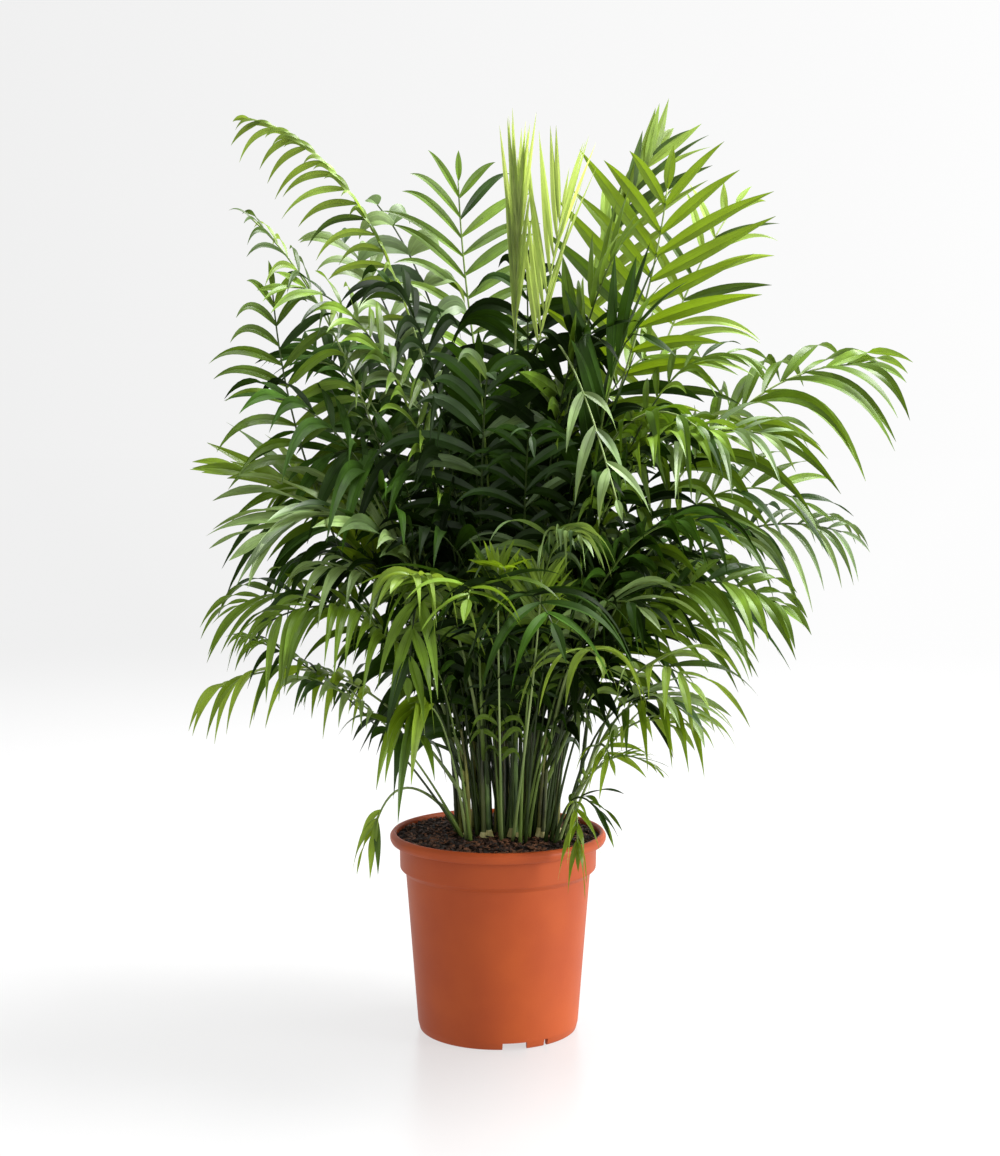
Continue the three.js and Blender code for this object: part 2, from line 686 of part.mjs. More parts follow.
// A frond's solid, from its stalk and the leaflets kept; leaves maps a section and hand to its places.
function frondSkin(line, row, leaves) {
  const skin = new Skin();
  const shares = ribShares(line, row);
  const rings = shares.map((share) => skin.ring(ribSection(line, share, row)));
  skin.lid([...rings[0]].reverse());
  for (let k = 0; k + 1 < rings.length; k++) {
    const [s0, n0, b0] = rings[k];
    const [s1, n1, b1] = rings[k + 1];
    skin.quad(s0, n0, n1, s1);
    for (const [hand, quad] of [[1, [b0, s0, s1, b1]], [-1, [n0, b0, b1, n1]]]) {
      const places = leaves.get(`${k} ${hand}`);
      if (places) addLeaf(skin, quad, places, hand);
      else skin.quad(...quad);
    }
  }
  if (leaves.has("tip")) addTipLeaf(skin, rings.at(-1), leaves.get("tip"));
  else skin.lid(rings.at(-1));
  return skin;
}

// One leaflet as a solid of its own, to try whether it touches anything.
function leafSolid(corners, places, hand) {
  const skin = new Skin();
  const ring = skin.ring(corners);
  skin.lid([...ring].reverse());
  if (hand) addLeaf(skin, ring, places, hand);
  else addTipLeaf(skin, ring, places);
  return solidOf(skin.geometry());
}

function boxOf(solid) {
  const { min, max } = solid.boundingBox();
  return new THREE.Box3(new THREE.Vector3(...min), new THREE.Vector3(...max)).expandByScalar(LEAF_CLEAR);
}

const touches = (leaf, other) =>
  leaf.box.intersectsBox(other.box) && leaf.solid.minGap(other.solid, 1) < LEAF_CLEAR;
const crosses = (leaf, other) =>
  leaf.box.intersectsBox(other.box) && leaf.solid.intersect(other.solid).volume() > 1e-3;

// Chooses every frond's leaflets: each is shortened or left out where it would touch a limb or a leaflet.
function growLeaves(rows, lines) {
  const limbs = STEMS.map((stem) => ({ owner: "", solid: solidOf(stemGeometry(stem)) }));
  limbs.push({ owner: "", solid: solidOf(potGeometry()) });
  for (const row of rows) {
    const stalk = frondSkin(lines.get(row.name), row, new Map());
    limbs.push({ owner: row.name, solid: solidOf(stalk.geometry()) });
  }
  for (const limb of limbs) limb.box = boxOf(limb.solid);
  const grown = new Map();
  const kept = [];
  for (const row of rows) {
    const line = lines.get(row.name);
    const shares = ribShares(line, row);
    const leaves = new Map();
    const spots = [];
    const pairs = pairCount(line);
    for (let k = 0; k < pairs; k++) {
      const section = 4 + 2 * k;
      const u = (k + 0.35) / pairs;
      spots.push({ key: `${section} 1`, section, hand: 1, u });
      spots.push({ key: `${section} -1`, section, hand: -1, u });
    }
    spots.push({ key: "tip", section: shares.length - 1, hand: 0, u: 1 });
    for (const { key, section, hand, u } of spots) {
      const [s0, n0, b0] = ribSection(line, shares[section], row);
      const [s1, n1, b1] = hand ? ribSection(line, shares[section + 1], row) : [];
      const corners = { 1: [b0, s0, s1, b1], "-1": [n0, b0, b1, n1], 0: [s0, n0, b0] }[hand];
      for (const change of LEAF_TRIES) {
        const places = leafPlaces(line, row, u, hand, change);
        const solid = leafSolid(corners, places, hand);
        const leaf = { owner: row.name, solid, box: boxOf(solid) };
        const blocked = [...limbs, ...kept].some((other) =>
          other.owner === row.name ? crosses(leaf, other) : touches(leaf, other),
        );
        if (blocked) continue;
        leaves.set(key, places);
        kept.push(leaf);
        break;
      }
    }
    grown.set(row.name, leaves);
  }
  return grown;
}

function named(name, geometry, color, roughness = 0.6) {
  const smooth = geometry.index ? geometry.toNonIndexed() : geometry;
  smooth.computeVertexNormals();
  const mesh = new THREE.Mesh(smooth, new THREE.MeshStandardMaterial({ color, roughness, metalness: 0 }));
  mesh.name = name;
  return mesh;
}

const palm = new THREE.Group();
palm.name = "potted_parlor_palm";
palm.add(named("pot", potGeometry(), "#c0603a", 0.55));
palm.add(named("soil", soilGeometry(), "#3a2a20", 0.95));

const stems = new THREE.Group();
STEMS.forEach((stem, s) => stems.add(named(`stem_${s + 1}`, stemGeometry(stem), "#4d5f33")));
palm.add(stems);

const rows = frondRows();
const lines = layLines(rows);
const leaves = growLeaves(rows, lines);
const bodies = new Map();
for (const row of rows) {
  const solid = solidOf(frondSkin(lines.get(row.name), row, leaves.get(row.name)).geometry());
  const shared = bodies.get(row.onto);
  if (shared) shared.solid = shared.solid.add(solid);
  else bodies.set(row.name, { row, solid });
}
const fronds = new THREE.Group();
for (const { row, solid } of bodies.values()) {
  fronds.add(named(`frond_${row.name}`, geometryOf(solid), TONES[row.tone]));
}
palm.add(fronds);

export default palm;
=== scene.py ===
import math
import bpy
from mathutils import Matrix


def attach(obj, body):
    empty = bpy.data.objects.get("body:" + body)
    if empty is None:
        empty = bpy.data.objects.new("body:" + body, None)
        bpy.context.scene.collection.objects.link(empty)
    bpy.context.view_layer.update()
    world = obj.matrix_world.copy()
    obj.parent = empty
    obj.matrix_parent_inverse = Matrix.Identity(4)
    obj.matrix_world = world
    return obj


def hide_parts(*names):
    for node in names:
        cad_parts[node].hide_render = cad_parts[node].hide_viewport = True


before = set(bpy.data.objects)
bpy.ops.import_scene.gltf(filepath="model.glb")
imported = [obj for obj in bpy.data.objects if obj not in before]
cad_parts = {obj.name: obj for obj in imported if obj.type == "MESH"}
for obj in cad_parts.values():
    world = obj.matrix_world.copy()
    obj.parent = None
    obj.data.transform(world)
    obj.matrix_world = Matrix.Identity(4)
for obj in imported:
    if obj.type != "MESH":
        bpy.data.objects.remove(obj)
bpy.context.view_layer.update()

# The look of a parlor palm in its nursery pot. Sizes are in millimetres until a mesh is made.
# The fronds grow by the rule of the part's source, with more and finer leaflets.
from types import SimpleNamespace as Sizes

import bpy
import numpy as np

scene = bpy.context.scene
UP = np.array((0.0, 0.0, 1.0))
ASKEW = np.array((0.36, 0.93, 0.07))  # settles where the rings of a stalk begin
METRE = 0.001  # metres in a millimetre
GAP = 0.3

POT = Sizes(
    height=222, rim_radius=120, rim_mouth=113, rim_foot=210, collar_radius=109.5, collar_foot=182,
    body_radius=102.5, body_top=176, base_radius=89.5, foot_radius=87.5, foot_height=8, wall=2.6,
)
CHANNEL = Sizes(inner=58, outer=83, slope=3)
# Drainage notches: bearing in degrees, and width.
NOTCHES = [(-78, 27), (60, 27), (180, 27), (-54, 5)]
SOIL = Sizes(flat_radius=88, top=218, edge_top=217)

CLUMP = (15.0, 6.0)
STEM = Sizes(spread=0.22, taper=0.3, flare=1.35, flare_height=12)
# Each stem's x, y, height and radius.
STEMS = [
    (-44, 8, 150, 5.0), (-32, -14, 120, 5.0), (-13, -16, 150, 5.5), (-24, 24, 240, 6.0),
    (2, 6, 300, 6.5), (18, -16, 130, 5.5), (10, 32, 340, 6.5), (32, 8, 230, 6.0),
    (48, -14, 120, 5.5), (42, 30, 290, 6.0), (64, 8, 180, 5.5), (78, -12, 70, 4.5),
]

# What a frond has unless its own row says otherwise. The second line only the look has: the leaflets'
# distance, fold and unevenness, their length and width as shares of the source's, the tip leaflet's
# length, and the shade, where it isn't dealt out.
USUAL = dict(
    lean=0.42, petiole=0.43, spread=62, tilt=25, tone="mid", onto=None, foot=None, rise=14, back=1.0,
    spacing=22, fold=0.28, stir=1.0, short=1.0, slim=1.0, end=0.75, shade=None,
)

# Name, stem, tip, height of the bend, the leaflets' length, width as a share of it, sag and distance,
# and what differs.
PLACED = [
    # The long arched one in front, which keeps its place before the rest
    ("front_arched", 6, (118, -200, 598), 965, 78, 0.23, 0.6, 48, dict(lean=0.14, spread=42, petiole=0.72,
        tilt=10, stir=1.7, short=0.78, slim=0.66, shade=2, tone="dusty")),
    # The upper edge, from left to right
    ("top_left_arch", 3, (-276, 60, 1010), 968, 100, 0.13, 0.5, 20, dict(lean=0.23, tilt=115, petiole=0.52,
        spread=52, rise=35, back=0.25, short=0.76, slim=0.72, tone="fresh")),
    ("top_left_thin", 0, (-262, -40, 890), 790, 95, 0.12, 0.5, 20, dict(petiole=0.5, slim=0.8, shade=0,
        tone="fresh")),
    ("upper_left_back", 3, (-195, 150, 890), 850, 115, 0.15, 0.5, 28, dict(tilt=10, tone="dusty")),
    ("top_left_inner", 4, (-140, 150, 925), 830, 80, 0.36, 0.6, 46, dict(tilt=30, petiole=0.6, tone="dusty")),
    ("top_middle", 6, (-46, 140, 952), 795, 135, 0.1, 0.25, 23, dict(lean=0.9, tilt=0, spread=64, stir=0.5)),
    ("young_spear", 6, (10, 40, 918), 860, 150, 0.08, 0, 13, dict(lean=0.5, petiole=0.6, tilt=60, spread=6,
        fold=0.3, stir=0.5, slim=0.62, shade=2, tone="young")),
    ("young_fan", 6, (66, 30, 906), 780, 165, 0.075, 0, 19, dict(onto="young_spear", lean=0.5, petiole=0.55,
        tilt=60, spread=26, fold=0.25, stir=0.5, slim=0.85, shade=1, tone="young")),
    ("top_right_back", 9, (188, 180, 996), 845, 130, 0.12, 0.06, 22, dict(lean=0.3, petiole=0.55, tilt=60,
        spread=40, rise=30, back=0.3, tone="fresh")),
    ("top_right_front", 9, (186, 30, 930), 762, 155, 0.12, 0.08, 26, dict(lean=0.85, tilt=75, petiole=0.54,
        stir=0.5, shade=1, tone="bright")),
    ("upper_right_out", 10, (275, 140, 925), 790, 120, 0.1, 0.25, 28, dict(lean=0.5, petiole=0.45, tilt=45,
        tone="fresh")),
    ("upper_right_edge", 10, (165, -60, 765), 800, 180, 0.11, 0.12, 26, dict(lean=0.5, spread=32, tilt=40,
        petiole=0.5, shade=0)),
    ("upper_right_inner", 7, (130, -70, 860), 800, 150, 0.14, 0.2, 28, dict(lean=0.5, petiole=0.45, tilt=50,
        shade=1)),
    # The right side, from top to bottom
    ("right_reach", 10, (408, 50, 738), 748, 165, 0.11, 0.5, 26, dict(petiole=0.48, tilt=35, slim=0.95,
        shade=1, stir=1.3, back=0.6)),
    ("right_upper", 9, (285, -110, 660), 700, 130, 0.11, 0.45, 18, dict(tilt=30, slim=0.8, shade=1,
        tone="dusty")),
    ("front_hanging", 9, (205, -120, 670), 740, 90, 0.22, 1.0, 34, dict(onto="right_upper", spread=50,
        tilt=10, slim=0.8, shade=0, tone="bright")),
    ("right_middle", 10, (372, -30, 556), 608, 110, 0.1, 0.6, 17, dict(tilt=35, slim=0.85, tone="dusty")),
    ("right_middle_high", 10, (332, -30, 587), 665, 120, 0.11, 0.3, 22, dict(onto="right_middle", tilt=35)),
    ("right_lower", 8, (296, -100, 482), 575, 105, 0.16, 0.4, 18, dict(spread=56, tilt=35, slim=0.95,
        shade=1)),
    ("right_back_low", 10, (275, 130, 455), 550, 140, 0.14, 0.4, 26, dict(tilt=20, tone="dark")),
    ("right_under", 8, (240, -50, 440), 500, 120, 0.1, 0.5, 17, dict(slim=0.85)),
    ("right_low", 11, (212, -90, 355), 430, 95, 0.17, 0.6, 19, dict(tilt=20, slim=0.66, tone="bright")),
    ("right_low_light", 11, (205, -120, 405), 460, 120, 0.13, 0.45, 19, dict(onto="right_low", tilt=20,
        slim=0.75, shade=2, tone="fresh")),
    ("right_low_small", 11, (121, -60, 313), 345, 58, 0.14, 0.4, 9, dict(onto="right_low", lean=0.5,
        tilt=45, tone="bright")),
    # The left side, from top to bottom
    ("left_high", 0, (-238, -60, 812), 560, 115, 0.12, 0.4, 21, dict(lean=0.9, spread=72, tilt=85,
        petiole=0.5, stir=0.8, slim=0.85, shade=1)),
    ("left_upper", 0, (-232, 100, 765), 740, 135, 0.12, 0.5, 24, dict(tilt=30, tone="dark")),
    ("left_middle_high", 1, (-235, -110, 700), 690, 150, 0.12, 0.5, 28, dict(tilt=30, tone="dark")),
    ("left_middle_dark", 3, (-230, 60, 605), 655, 110, 0.1, 0.5, 15, dict(spread=48, tilt=30, slim=0.85)),
    ("left_middle", 1, (-272, 0, 616), 600, 150, 0.15, 0.15, 26, dict(spread=24, stir=0.6, tone="bright")),
    ("left_broad", 2, (-232, -150, 562), 640, 150, 0.13, 0.3, 20, dict(spread=34, tilt=30, tone="dusty")),
    ("left_back", 3, (-260, 170, 570), 610, 140, 0.14, 0.5, 28, dict(tilt=30, tone="dark")),
    ("left_lower", 0, (-290, 20, 470), 536, 115, 0.13, 0.5, 16, dict(spread=50, tilt=30, slim=0.76, shade=2)),
    ("left_low", 1, (-240, -120, 470), 530, 120, 0.15, 0.75, 17, dict(spread=55, slim=0.72, shade=2)),
    ("left_low_long", 1, (-303, -50, 388), 460, 126, 0.16, 0.8, 22, dict(lean=0.45, petiole=0.45, tilt=0,
        short=0.85, slim=0.6, shade=2, tone="bright")),
    ("left_low_front", 1, (-90, -190, 418), 645, 84, 0.17, 0.6, 32, dict(onto="left_low", lean=0.6,
        spread=28, petiole=0.55, tilt=10, end=0.5)),
    # The front
    ("front_dark", 4, (-20, -60, 735), 620, 110, 0.16, 0.2, 28, dict(lean=0.5, petiole=0.5, tilt=60,
        tone="dark")),
    ("front_left_light", 2, (-104, -205, 520), 540, 85, 0.18, 0.8, 26, dict(tilt=20, tone="fresh")),
    ("front_middle", 5, (65, -170, 565), 580, 125, 0.1, 0.6, 26, dict(tone="dusty")),
    ("front_fan", 5, (5, -190, 530), 520, 90, 0.1, 0.2, 14, dict(onto="front_middle", lean=0.5, tilt=60,
        short=0.75, shade=1, tone="bright")),
    ("front_low_right", 8, (145, -150, 485), 520, 120, 0.12, 0.5, 24, dict(tilt=30, tone="dusty")),
    ("front_right_light", 8, (100, -190, 440), 460, 95, 0.14, 0.8, 26, dict(onto="front_low_right", tilt=20,
        tone="fresh")),
    ("seedling_left", 0, (-135, -60, 230), 320, 52, 0.2, 0.7, 22, dict(foot=16, lean=0.75, petiole=0.8,
        tilt=0, spread=40, tone="bright")),
    ("hanging_right", 11, (84, -118, 226), 304, 58, 0.13, 0.4, 16, dict(foot=24, lean=0.8, petiole=0.5,
        tilt=0, spread=22, tone="bright")),
]

# The fronds behind and between them, in rounds of pairs that share a stalk: name, pairs, first bearing,
# ranges of reach, tip height and the bend's rise over it, and how short the leaflets are.
GOLDEN_ANGLE = 137.508
ROUNDS = [
    ("inner_high", 2, 60, (70, 160), (770, 850), (10, 50), 1.0),
    ("back_high", 2, 20, (190, 260), (640, 760), (30, 90), 1.0),
    ("back_low", 3, 100, (210, 280), (480, 600), (30, 90), 1.0),
    ("middle", 3, 230, (100, 180), (500, 620), (10, 60), 1.0),
    ("low", 1, 200, (150, 190), (400, 450), (20, 60), 0.65),
]
ROUND = Sizes(leaf=(125, 155), width=0.115, sag=(0.3, 0.6), tilt=(0, 40))
ROUND_TONES = ["dark", "mid", "dark", "dusty", "mid", "dark"]
SECOND = Sizes(turn=38, drop=70)
# A pair's stem is near to a place on its own side, bears few fronds and has a height that suits its tip.
CHOICE = Sizes(aside=35, crowd=14, miss=0.15, lowest_tip=500, stem_share=0.6)

# Thinner fronds that rise from the soil among the stems and fill the middle of the crown: name, count,
# middle bearing, arc to either hand, ranges as in the rounds, and what differs.
SHOOTS = [
    ("shoot_low", 14, 15, 180, (90, 170), (360, 460), (20, 60), {}),
    ("shoot_middle", 12, 70, 180, (80, 190), (470, 620), (20, 70), {}),
    ("shoot_high", 8, 130, 180, (60, 170), (640, 780), (10, 60), {}),
    ("shoot_left", 8, 178, 40, (190, 255), (440, 830), (10, 60), {}),
    ("shoot_right", 8, 0, 40, (190, 265), (430, 780), (10, 60), {}),
    ("shoot_back", 5, 90, 50, (150, 230), (420, 800), (10, 60), {}),
    ("shoot_front", 14, 268, 105, (35, 105), (350, 450), (10, 50), dict(leaf=(55, 90), spread=44, sag=0.75)),
]
# Their feet lie in an oval about the clump's middle. SHOOT_FOOT.aside is in radians.
SHOOT_FOOT = Sizes(reach=(8, 44), aside=0.9, wide=1.3, deep=0.8, sunk=2.0)
SHOOT = Sizes(lean=0.35, petiole=0.52, leaf=(95, 135), sag=(0.3, 0.65))
# Small fronds that rise from the soil, in rows like those above, with their start instead of a stem.
UPRIGHT = dict(lean=0.4, petiole=0.7, tilt=20)
SMALL = [
    ("small_left_long", (-40, -12), (-268, -72, 446), 404, 84, 0.1, 0.6, 15, dict(lean=0.5, petiole=0.64,
        spread=52, tilt=10)),
    ("small_left_hanging", (-34, -28), (-84, -150, 376), 412, 104, 0.17, 0.9, 30, dict(lean=0.5,
        petiole=0.82, spread=16, tilt=0, shade=1, tone="bright")),
    ("small_left_low", (-38, -20), (-206, -104, 404), 392, 76, 0.12, 0.6, 16, dict(lean=0.5, petiole=0.66,
        spread=52, tilt=10, tone="dusty")),
    ("small_right_fan", (70, -30), (200, -128, 374), 432, 92, 0.165, 0.35, 18, dict(lean=0.3, petiole=0.66,
        spread=46, tilt=0, shade=2, tone="dusty")),
    ("small_right_drooping", (74, -34), (188, -100, 352), 392, 76, 0.14, 0.55, 17, dict(lean=0.45,
        petiole=0.55, tilt=10, tone="fresh")),
    ("small_right_comb", (66, -40), (168, -80, 306), 352, 42, 0.1, 0.25, 8, dict(lean=0.4, petiole=0.4,
        spread=50, tilt=0, tone="bright")),
    ("small_right_low", (62, -44), (112, -70, 250), 304, 52, 0.15, 0.3, 14, dict(lean=0.35, petiole=0.5,
        spread=40, tilt=0)),
    ("small_right_thin", (58, -30), (150, -40, 440), 420, 60, 0.12, 0.4, 16, dict(UPRIGHT, tone="dark")),
    ("small_right_upright", (52, -36), (112, -60, 470), 440, 60, 0.12, 0.4, 16, UPRIGHT),
    ("small_front_upright", (30, -40), (60, -90, 450), 420, 62, 0.12, 0.4, 16, dict(UPRIGHT, petiole=0.66)),
    ("small_left_upright", (-30, -34), (-84, -80, 440), 420, 62, 0.12, 0.4, 16, dict(UPRIGHT,
        petiole=0.66, tone="dark")),
    ("small_front_arching", (24, -44), (84, -205, 560), 606, 84, 0.1, 0.6, 14, dict(lean=0.2, petiole=0.74,
        spread=30, tilt=0, tone="dusty")),
    ("small_front_tuft", (4, -36), (0, -168, 528), 436, 62, 0.11, 0.08, 8, dict(lean=0.96, petiole=0.86,
        spread=26, tilt=0, stir=0.6, shade=2, tone="bright")),
    ("small_front_fan", (16, -38), (44, -172, 516), 430, 70, 0.09, 0.12, 8, dict(lean=0.88, petiole=0.84,
        spread=34, tilt=0, stir=0.6, shade=1, tone="bright")),
]
# These lie deep in the crown, and have the darkest shade and the dark stalks: painted shade of the crown's
# depth.
SHADED_INNER = ("inner_high", "middle", "low_", "shoot_low", "shoot_middle", "shoot_high")

# A stalk is slim where it has a foot on a stem, and slimmer where it shares one or rises from the soil.
RIB = Sizes(foot=2.4, tip=0.9, above=0.4, slim=0.8, slimmer=0.6)
STALK = Sizes(step=14, fewest=20, rooted=10)  # its rings, and how deep in the stem it starts
SHEATH = Sizes(extra=1.1, length=36)  # the stalk widens into a sheath at its foot
# Stalk colours: dark, light and pale. The dark one is also painted shade for stalks deep in the crown.
STALK_COLOURS = [("#1f2a12", "#38491b"), ("#42541f", "#768e42"), ("#566a34", "#8c9c60")]
PALE_STALKS = ("young", "fresh", "bright", "front_arched", "right_reach")  # tones, and single fronds
FOOT_STEP = 18
LOWEST_FOOT = 14
FORK = 30

# Ways to move a frond that would touch another: turned, in degrees, and bent higher or lower.
TURNS = [0, 2.5, -2.5, 5, -5, 7.5, -7.5, 10, -10, 13, -13, 17, -17, 22, -22]
LIFTS = [0, 20, -20, 40, -40, 70, -70, 100]
WAYS = [(turn, lift) for lift in LIFTS for turn in TURNS]
# How far a middle line stays from other lines, other stems and its own, and how many points of its foot
# or how many millimetres of a shared stalk don't count.
CLEAR_STEP = 5
CLEAR = Sizes(ribs=7, stems=4, own_stem=2.9, own_points=3, shared=50)

# Leaflets. Each half is a sheet of its own, so that the fold along the midrib stays crisp.
LEAF_HALF = (0.0, 0.5, 1.0)
LEAF = Sizes(
    steps=12, breadth=0.95, droop=2.5, drawn_in=0.25, end_sag=0.5, foot_fold=0.5, arch=0.2, uv_length=100,
)
# How leaflets differ by chance: the most to either hand, or the least and the most.
UNEVEN = Sizes(
    rise=14, angle=9, sag=0.12, twist=50, place=0.12,
    length=(0.86, 1.12), curl=(-0.05, 0.09), breadth=(0.92, 1.06),
)

# Base colours of the leaves, as shown: three shades of each tone, the first darker, as painted shade for
# those deep in the crown.
TONES = dict(
    dark=("#101e04", "#20350a", "#2c470f"),
    mid=("#1f3508", "#475f17", "#5f7a25"),
    fresh=("#35491a", "#657b32", "#77903f"),
    bright=("#405a16", "#5e7718", "#76902a"),
    young=("#76893f", "#86994c", "#a3b560"),
    dusty=("#243d0f", "#516739", "#667c46"),
)
LEAF_GAINS = (0.55, 1.5)  # the darkest and the lightest patch, as a share of the base colour

# How rough each tone is, how much it shines and how much light passes through it.
LEAF_LOOK = dict(
    dark=(0.58, 0.06, 0.12),
    mid=(0.4, 0.2, 0.2),
    fresh=(0.4, 0.2, 0.32),
    bright=(0.4, 0.35, 0.34),
    young=(0.4, 0.35, 0.42),
    dusty=(0.5, 0.4, 0.2),
)
# The red, green and blue of that light.
LEAF_WARM = (1.35, 1.25, 0.55)
YOUNG_WARM = (1.2, 1.15, 1.0)

# A leaflet keeps its frond's own shade by chance. Else it has the next one, or the darkest.
OWN_SHADE = 0.72
DARK_SHADE = 0.9
NEXT_SHADE = (1, 2, 1)


class Chance:
    """A seeded row of numbers from 0 to 1, the same as in the part's source."""

    def __init__(self, seed):
        self.state = seed

    def next(self):
        self.state = (self.state * 1664525 + 1013904223) % 4294967296
        return self.state / 4294967296

    def between(self, low, high):
        return low + (high - low) * self.next()

    def either_way(self, most):
        return self.between(-most, most)

    def pick(self, things):
        return things[int(len(things) * self.next())]


def unit(v):
    return v / np.linalg.norm(v)


def units(rows):
    return rows / np.linalg.norm(rows, axis=1)[:, None]


def turned(v, axis, angle):
    cos, sin = math.cos(angle), math.sin(angle)
    return v * cos + np.cross(axis, v) * sin + axis * (axis @ v) * (1 - cos)


def stem_centre(stem, height):
    x, y, tall, _ = STEMS[stem]
    height = np.asarray(height, float)
    lean = STEM.spread * (height / tall) ** 1.5
    foot = SOIL.top + GAP
    return np.stack([x + (x - CLUMP[0]) * lean, y + (y - CLUMP[1]) * lean, foot + height], axis=-1)


def stem_radius(stem, height):
    _, _, tall, radius = STEMS[stem]
    height = np.asarray(height, float)
    flare = (STEM.flare - 1) * np.maximum(0, 1 - height / STEM.flare_height) ** 2
    return radius * (1 - STEM.taper * height / tall) * (1 + flare)


def free_stem(bearing, tip_height, crowd):
    def cost(s):
        x, y, tall, _ = STEMS[s]
        off_x = x - CLUMP[0] - CHOICE.aside * math.cos(bearing)
        off_y = y - CLUMP[1] - CHOICE.aside * math.sin(bearing)
        height_miss = abs(tall - (tip_height - CHOICE.lowest_tip) * CHOICE.stem_share)
        return math.hypot(off_x, off_y) + CHOICE.crowd * crowd[s] + CHOICE.miss * height_miss

    return min(range(len(STEMS)), key=cost)


def tip_at(bearing, reach, height):
    return CLUMP[0] + reach * math.cos(bearing), CLUMP[1] + reach * math.sin(bearing), height


def frond(row, **own):
    """A row of PLACED or SMALL with each value by its name, and the usual ones."""
    names = ("name", "stem", "tip", "bend", "leaf", "width", "sag", "spacing")
    return Sizes(**USUAL | dict(zip(names, row)) | row[-1] | own)


def frond_rows():
    """Every frond of the source in full, the placed ones first."""
    rows = [frond(row) for row in PLACED]
    crowd = [sum(row.stem == s for row in rows) for s in range(len(STEMS))]
    chance = Chance(20260)
    for name, pairs, start, reaches, tips, rises, short in ROUNDS:
        for k in range(pairs):
            first = None
            for letter in "ab":
                turn = SECOND.turn if first else 0
                bearing = math.radians(start + k * GOLDEN_ANGLE + turn)
                reach = chance.between(*reaches)
                tip_height = chance.between(*tips) - (SECOND.drop if first else 0)
                bend = tip_height + chance.between(*rises)
                leaf = chance.between(*ROUND.leaf)
                stem = first.stem if first else free_stem(bearing, tip_height, crowd)
                row = Sizes(**USUAL | dict(
                    name=f"{name}_{k + 1}{letter}", stem=stem, tip=tip_at(bearing, reach, tip_height),
                    bend=bend, leaf=leaf, width=ROUND.width, short=short, sag=chance.between(*ROUND.sag),
                    tilt=chance.between(*ROUND.tilt), tone=chance.pick(ROUND_TONES),
                    onto=first.name if first else None,
                ))
                crowd[stem] += 1
                rows.append(row)
                first = first or row
    for s, (_, _, tall, _) in enumerate(STEMS):
        ranked = [row for row in rows if row.stem == s and not row.onto and not row.foot]
        ranked.sort(key=lambda row: -row.tip[2])
        for k, row in enumerate(ranked):
            row.foot = max(tall - FOOT_STEP * k, LOWEST_FOOT)
    return rows


def shoot_rows():
    """The thinner fronds and the small ones, each with a foot of its own in the soil."""
    chance = Chance(4711)
    rows = []
    foot_height = SOIL.top - SHOOT_FOOT.sunk
    for name, count, middle, arc, reaches, tips, rises, differs in SHOOTS:
        for k in range(count):
            aside = (k * GOLDEN_ANGLE / 180) % 2 - 1
            bearing = math.radians(middle + arc * aside)
            reach = chance.between(*reaches)
            tip_height = chance.between(*tips)
            foot_bearing = bearing + chance.either_way(SHOOT_FOOT.aside)
            foot_reach = chance.between(*SHOOT_FOOT.reach)
            start = np.array((
                CLUMP[0] + SHOOT_FOOT.wide * foot_reach * math.cos(foot_bearing),
                CLUMP[1] + SHOOT_FOOT.deep * foot_reach * math.sin(foot_bearing),
                foot_height,
            ))
            rows.append(Sizes(**USUAL | dict(
                name=f"{name}_{k + 1}", stem=None, start=start, tip=tip_at(bearing, reach, tip_height),
                bend=tip_height + chance.between(*rises), lean=SHOOT.lean, petiole=SHOOT.petiole,
                leaf=chance.between(*differs.get("leaf", SHOOT.leaf)), width=ROUND.width,
                spread=differs.get("spread", USUAL["spread"]),
                sag=differs.get("sag") or chance.between(*SHOOT.sag),
                tilt=chance.between(*ROUND.tilt), tone=chance.pick(ROUND_TONES),
            )))
    return rows + [frond(row, stem=None, start=np.array((*row[1], foot_height))) for row in SMALL]


class Line:
    """A frond's middle line: evenly spaced points along a bent curve from its foot to its tip."""

    def __init__(self, row, foot, tip, bend):
        corner = foot + (tip - foot) * row.lean
        corner[2] = bend
        fine = 96
        t = (np.arange(fine + 1) / fine)[:, None]
        curve = foot * (1 - t) ** 2 + corner * 2 * t * (1 - t) + tip * t * t
        steps = np.linalg.norm(np.diff(curve, axis=0), axis=1)
        along = np.concatenate([[0.0], np.cumsum(steps)])
        self.length = along[-1]
        count = math.ceil(self.length / CLEAR_STEP)
        wanted = self.length * np.arange(count + 1) / count
        self.points = np.stack([np.interp(wanted, along, curve[:, i]) for i in range(3)], axis=1)
        self.away = unit(np.array((tip[0] - foot[0], tip[1] - foot[1], 0.0)))
        self.roll = math.radians(row.tilt) * self.away[0]
        self.petiole = row.petiole

    def at(self, share):
        """The place, direction, side and face at a share of its length."""
        last = len(self.points) - 1
        k = min(int(share * last), last - 1)
        step = self.points[k + 1] - self.points[k]
        place = self.points[k] + step * (share * last - k)
        ahead = unit(step)
        level = np.cross(UP, self.away)
        side = turned(level, ahead, self.roll * min(1, share / self.petiole))
        return place, ahead, side, unit(np.cross(ahead, side))


def frond_foot(row, tip, laid):
    if row.onto:
        stalk = laid[row.onto]
        return stalk.at(FORK / stalk.length)[0]
    if row.stem is None:
        return row.start.copy()
    foot = stem_centre(row.stem, row.foot)
    if row.foot == STEMS[row.stem][2]:
        return foot + UP * GAP
    away = unit(np.array((tip[0] - foot[0], tip[1] - foot[1], 0.0)))
    return foot + away * (stem_radius(row.stem, row.foot) + GAP + 1.2 * RIB.above * RIB.foot)


def middle_line(row, turn, lift, laid):
    x, y, z = row.tip
    tip = turned(np.array((x - CLUMP[0], y - CLUMP[1], z)), UP, math.radians(turn))
    tip += (CLUMP[0], CLUMP[1], 0)
    return Line(row, frond_foot(row, tip, laid), tip, row.bend + lift)


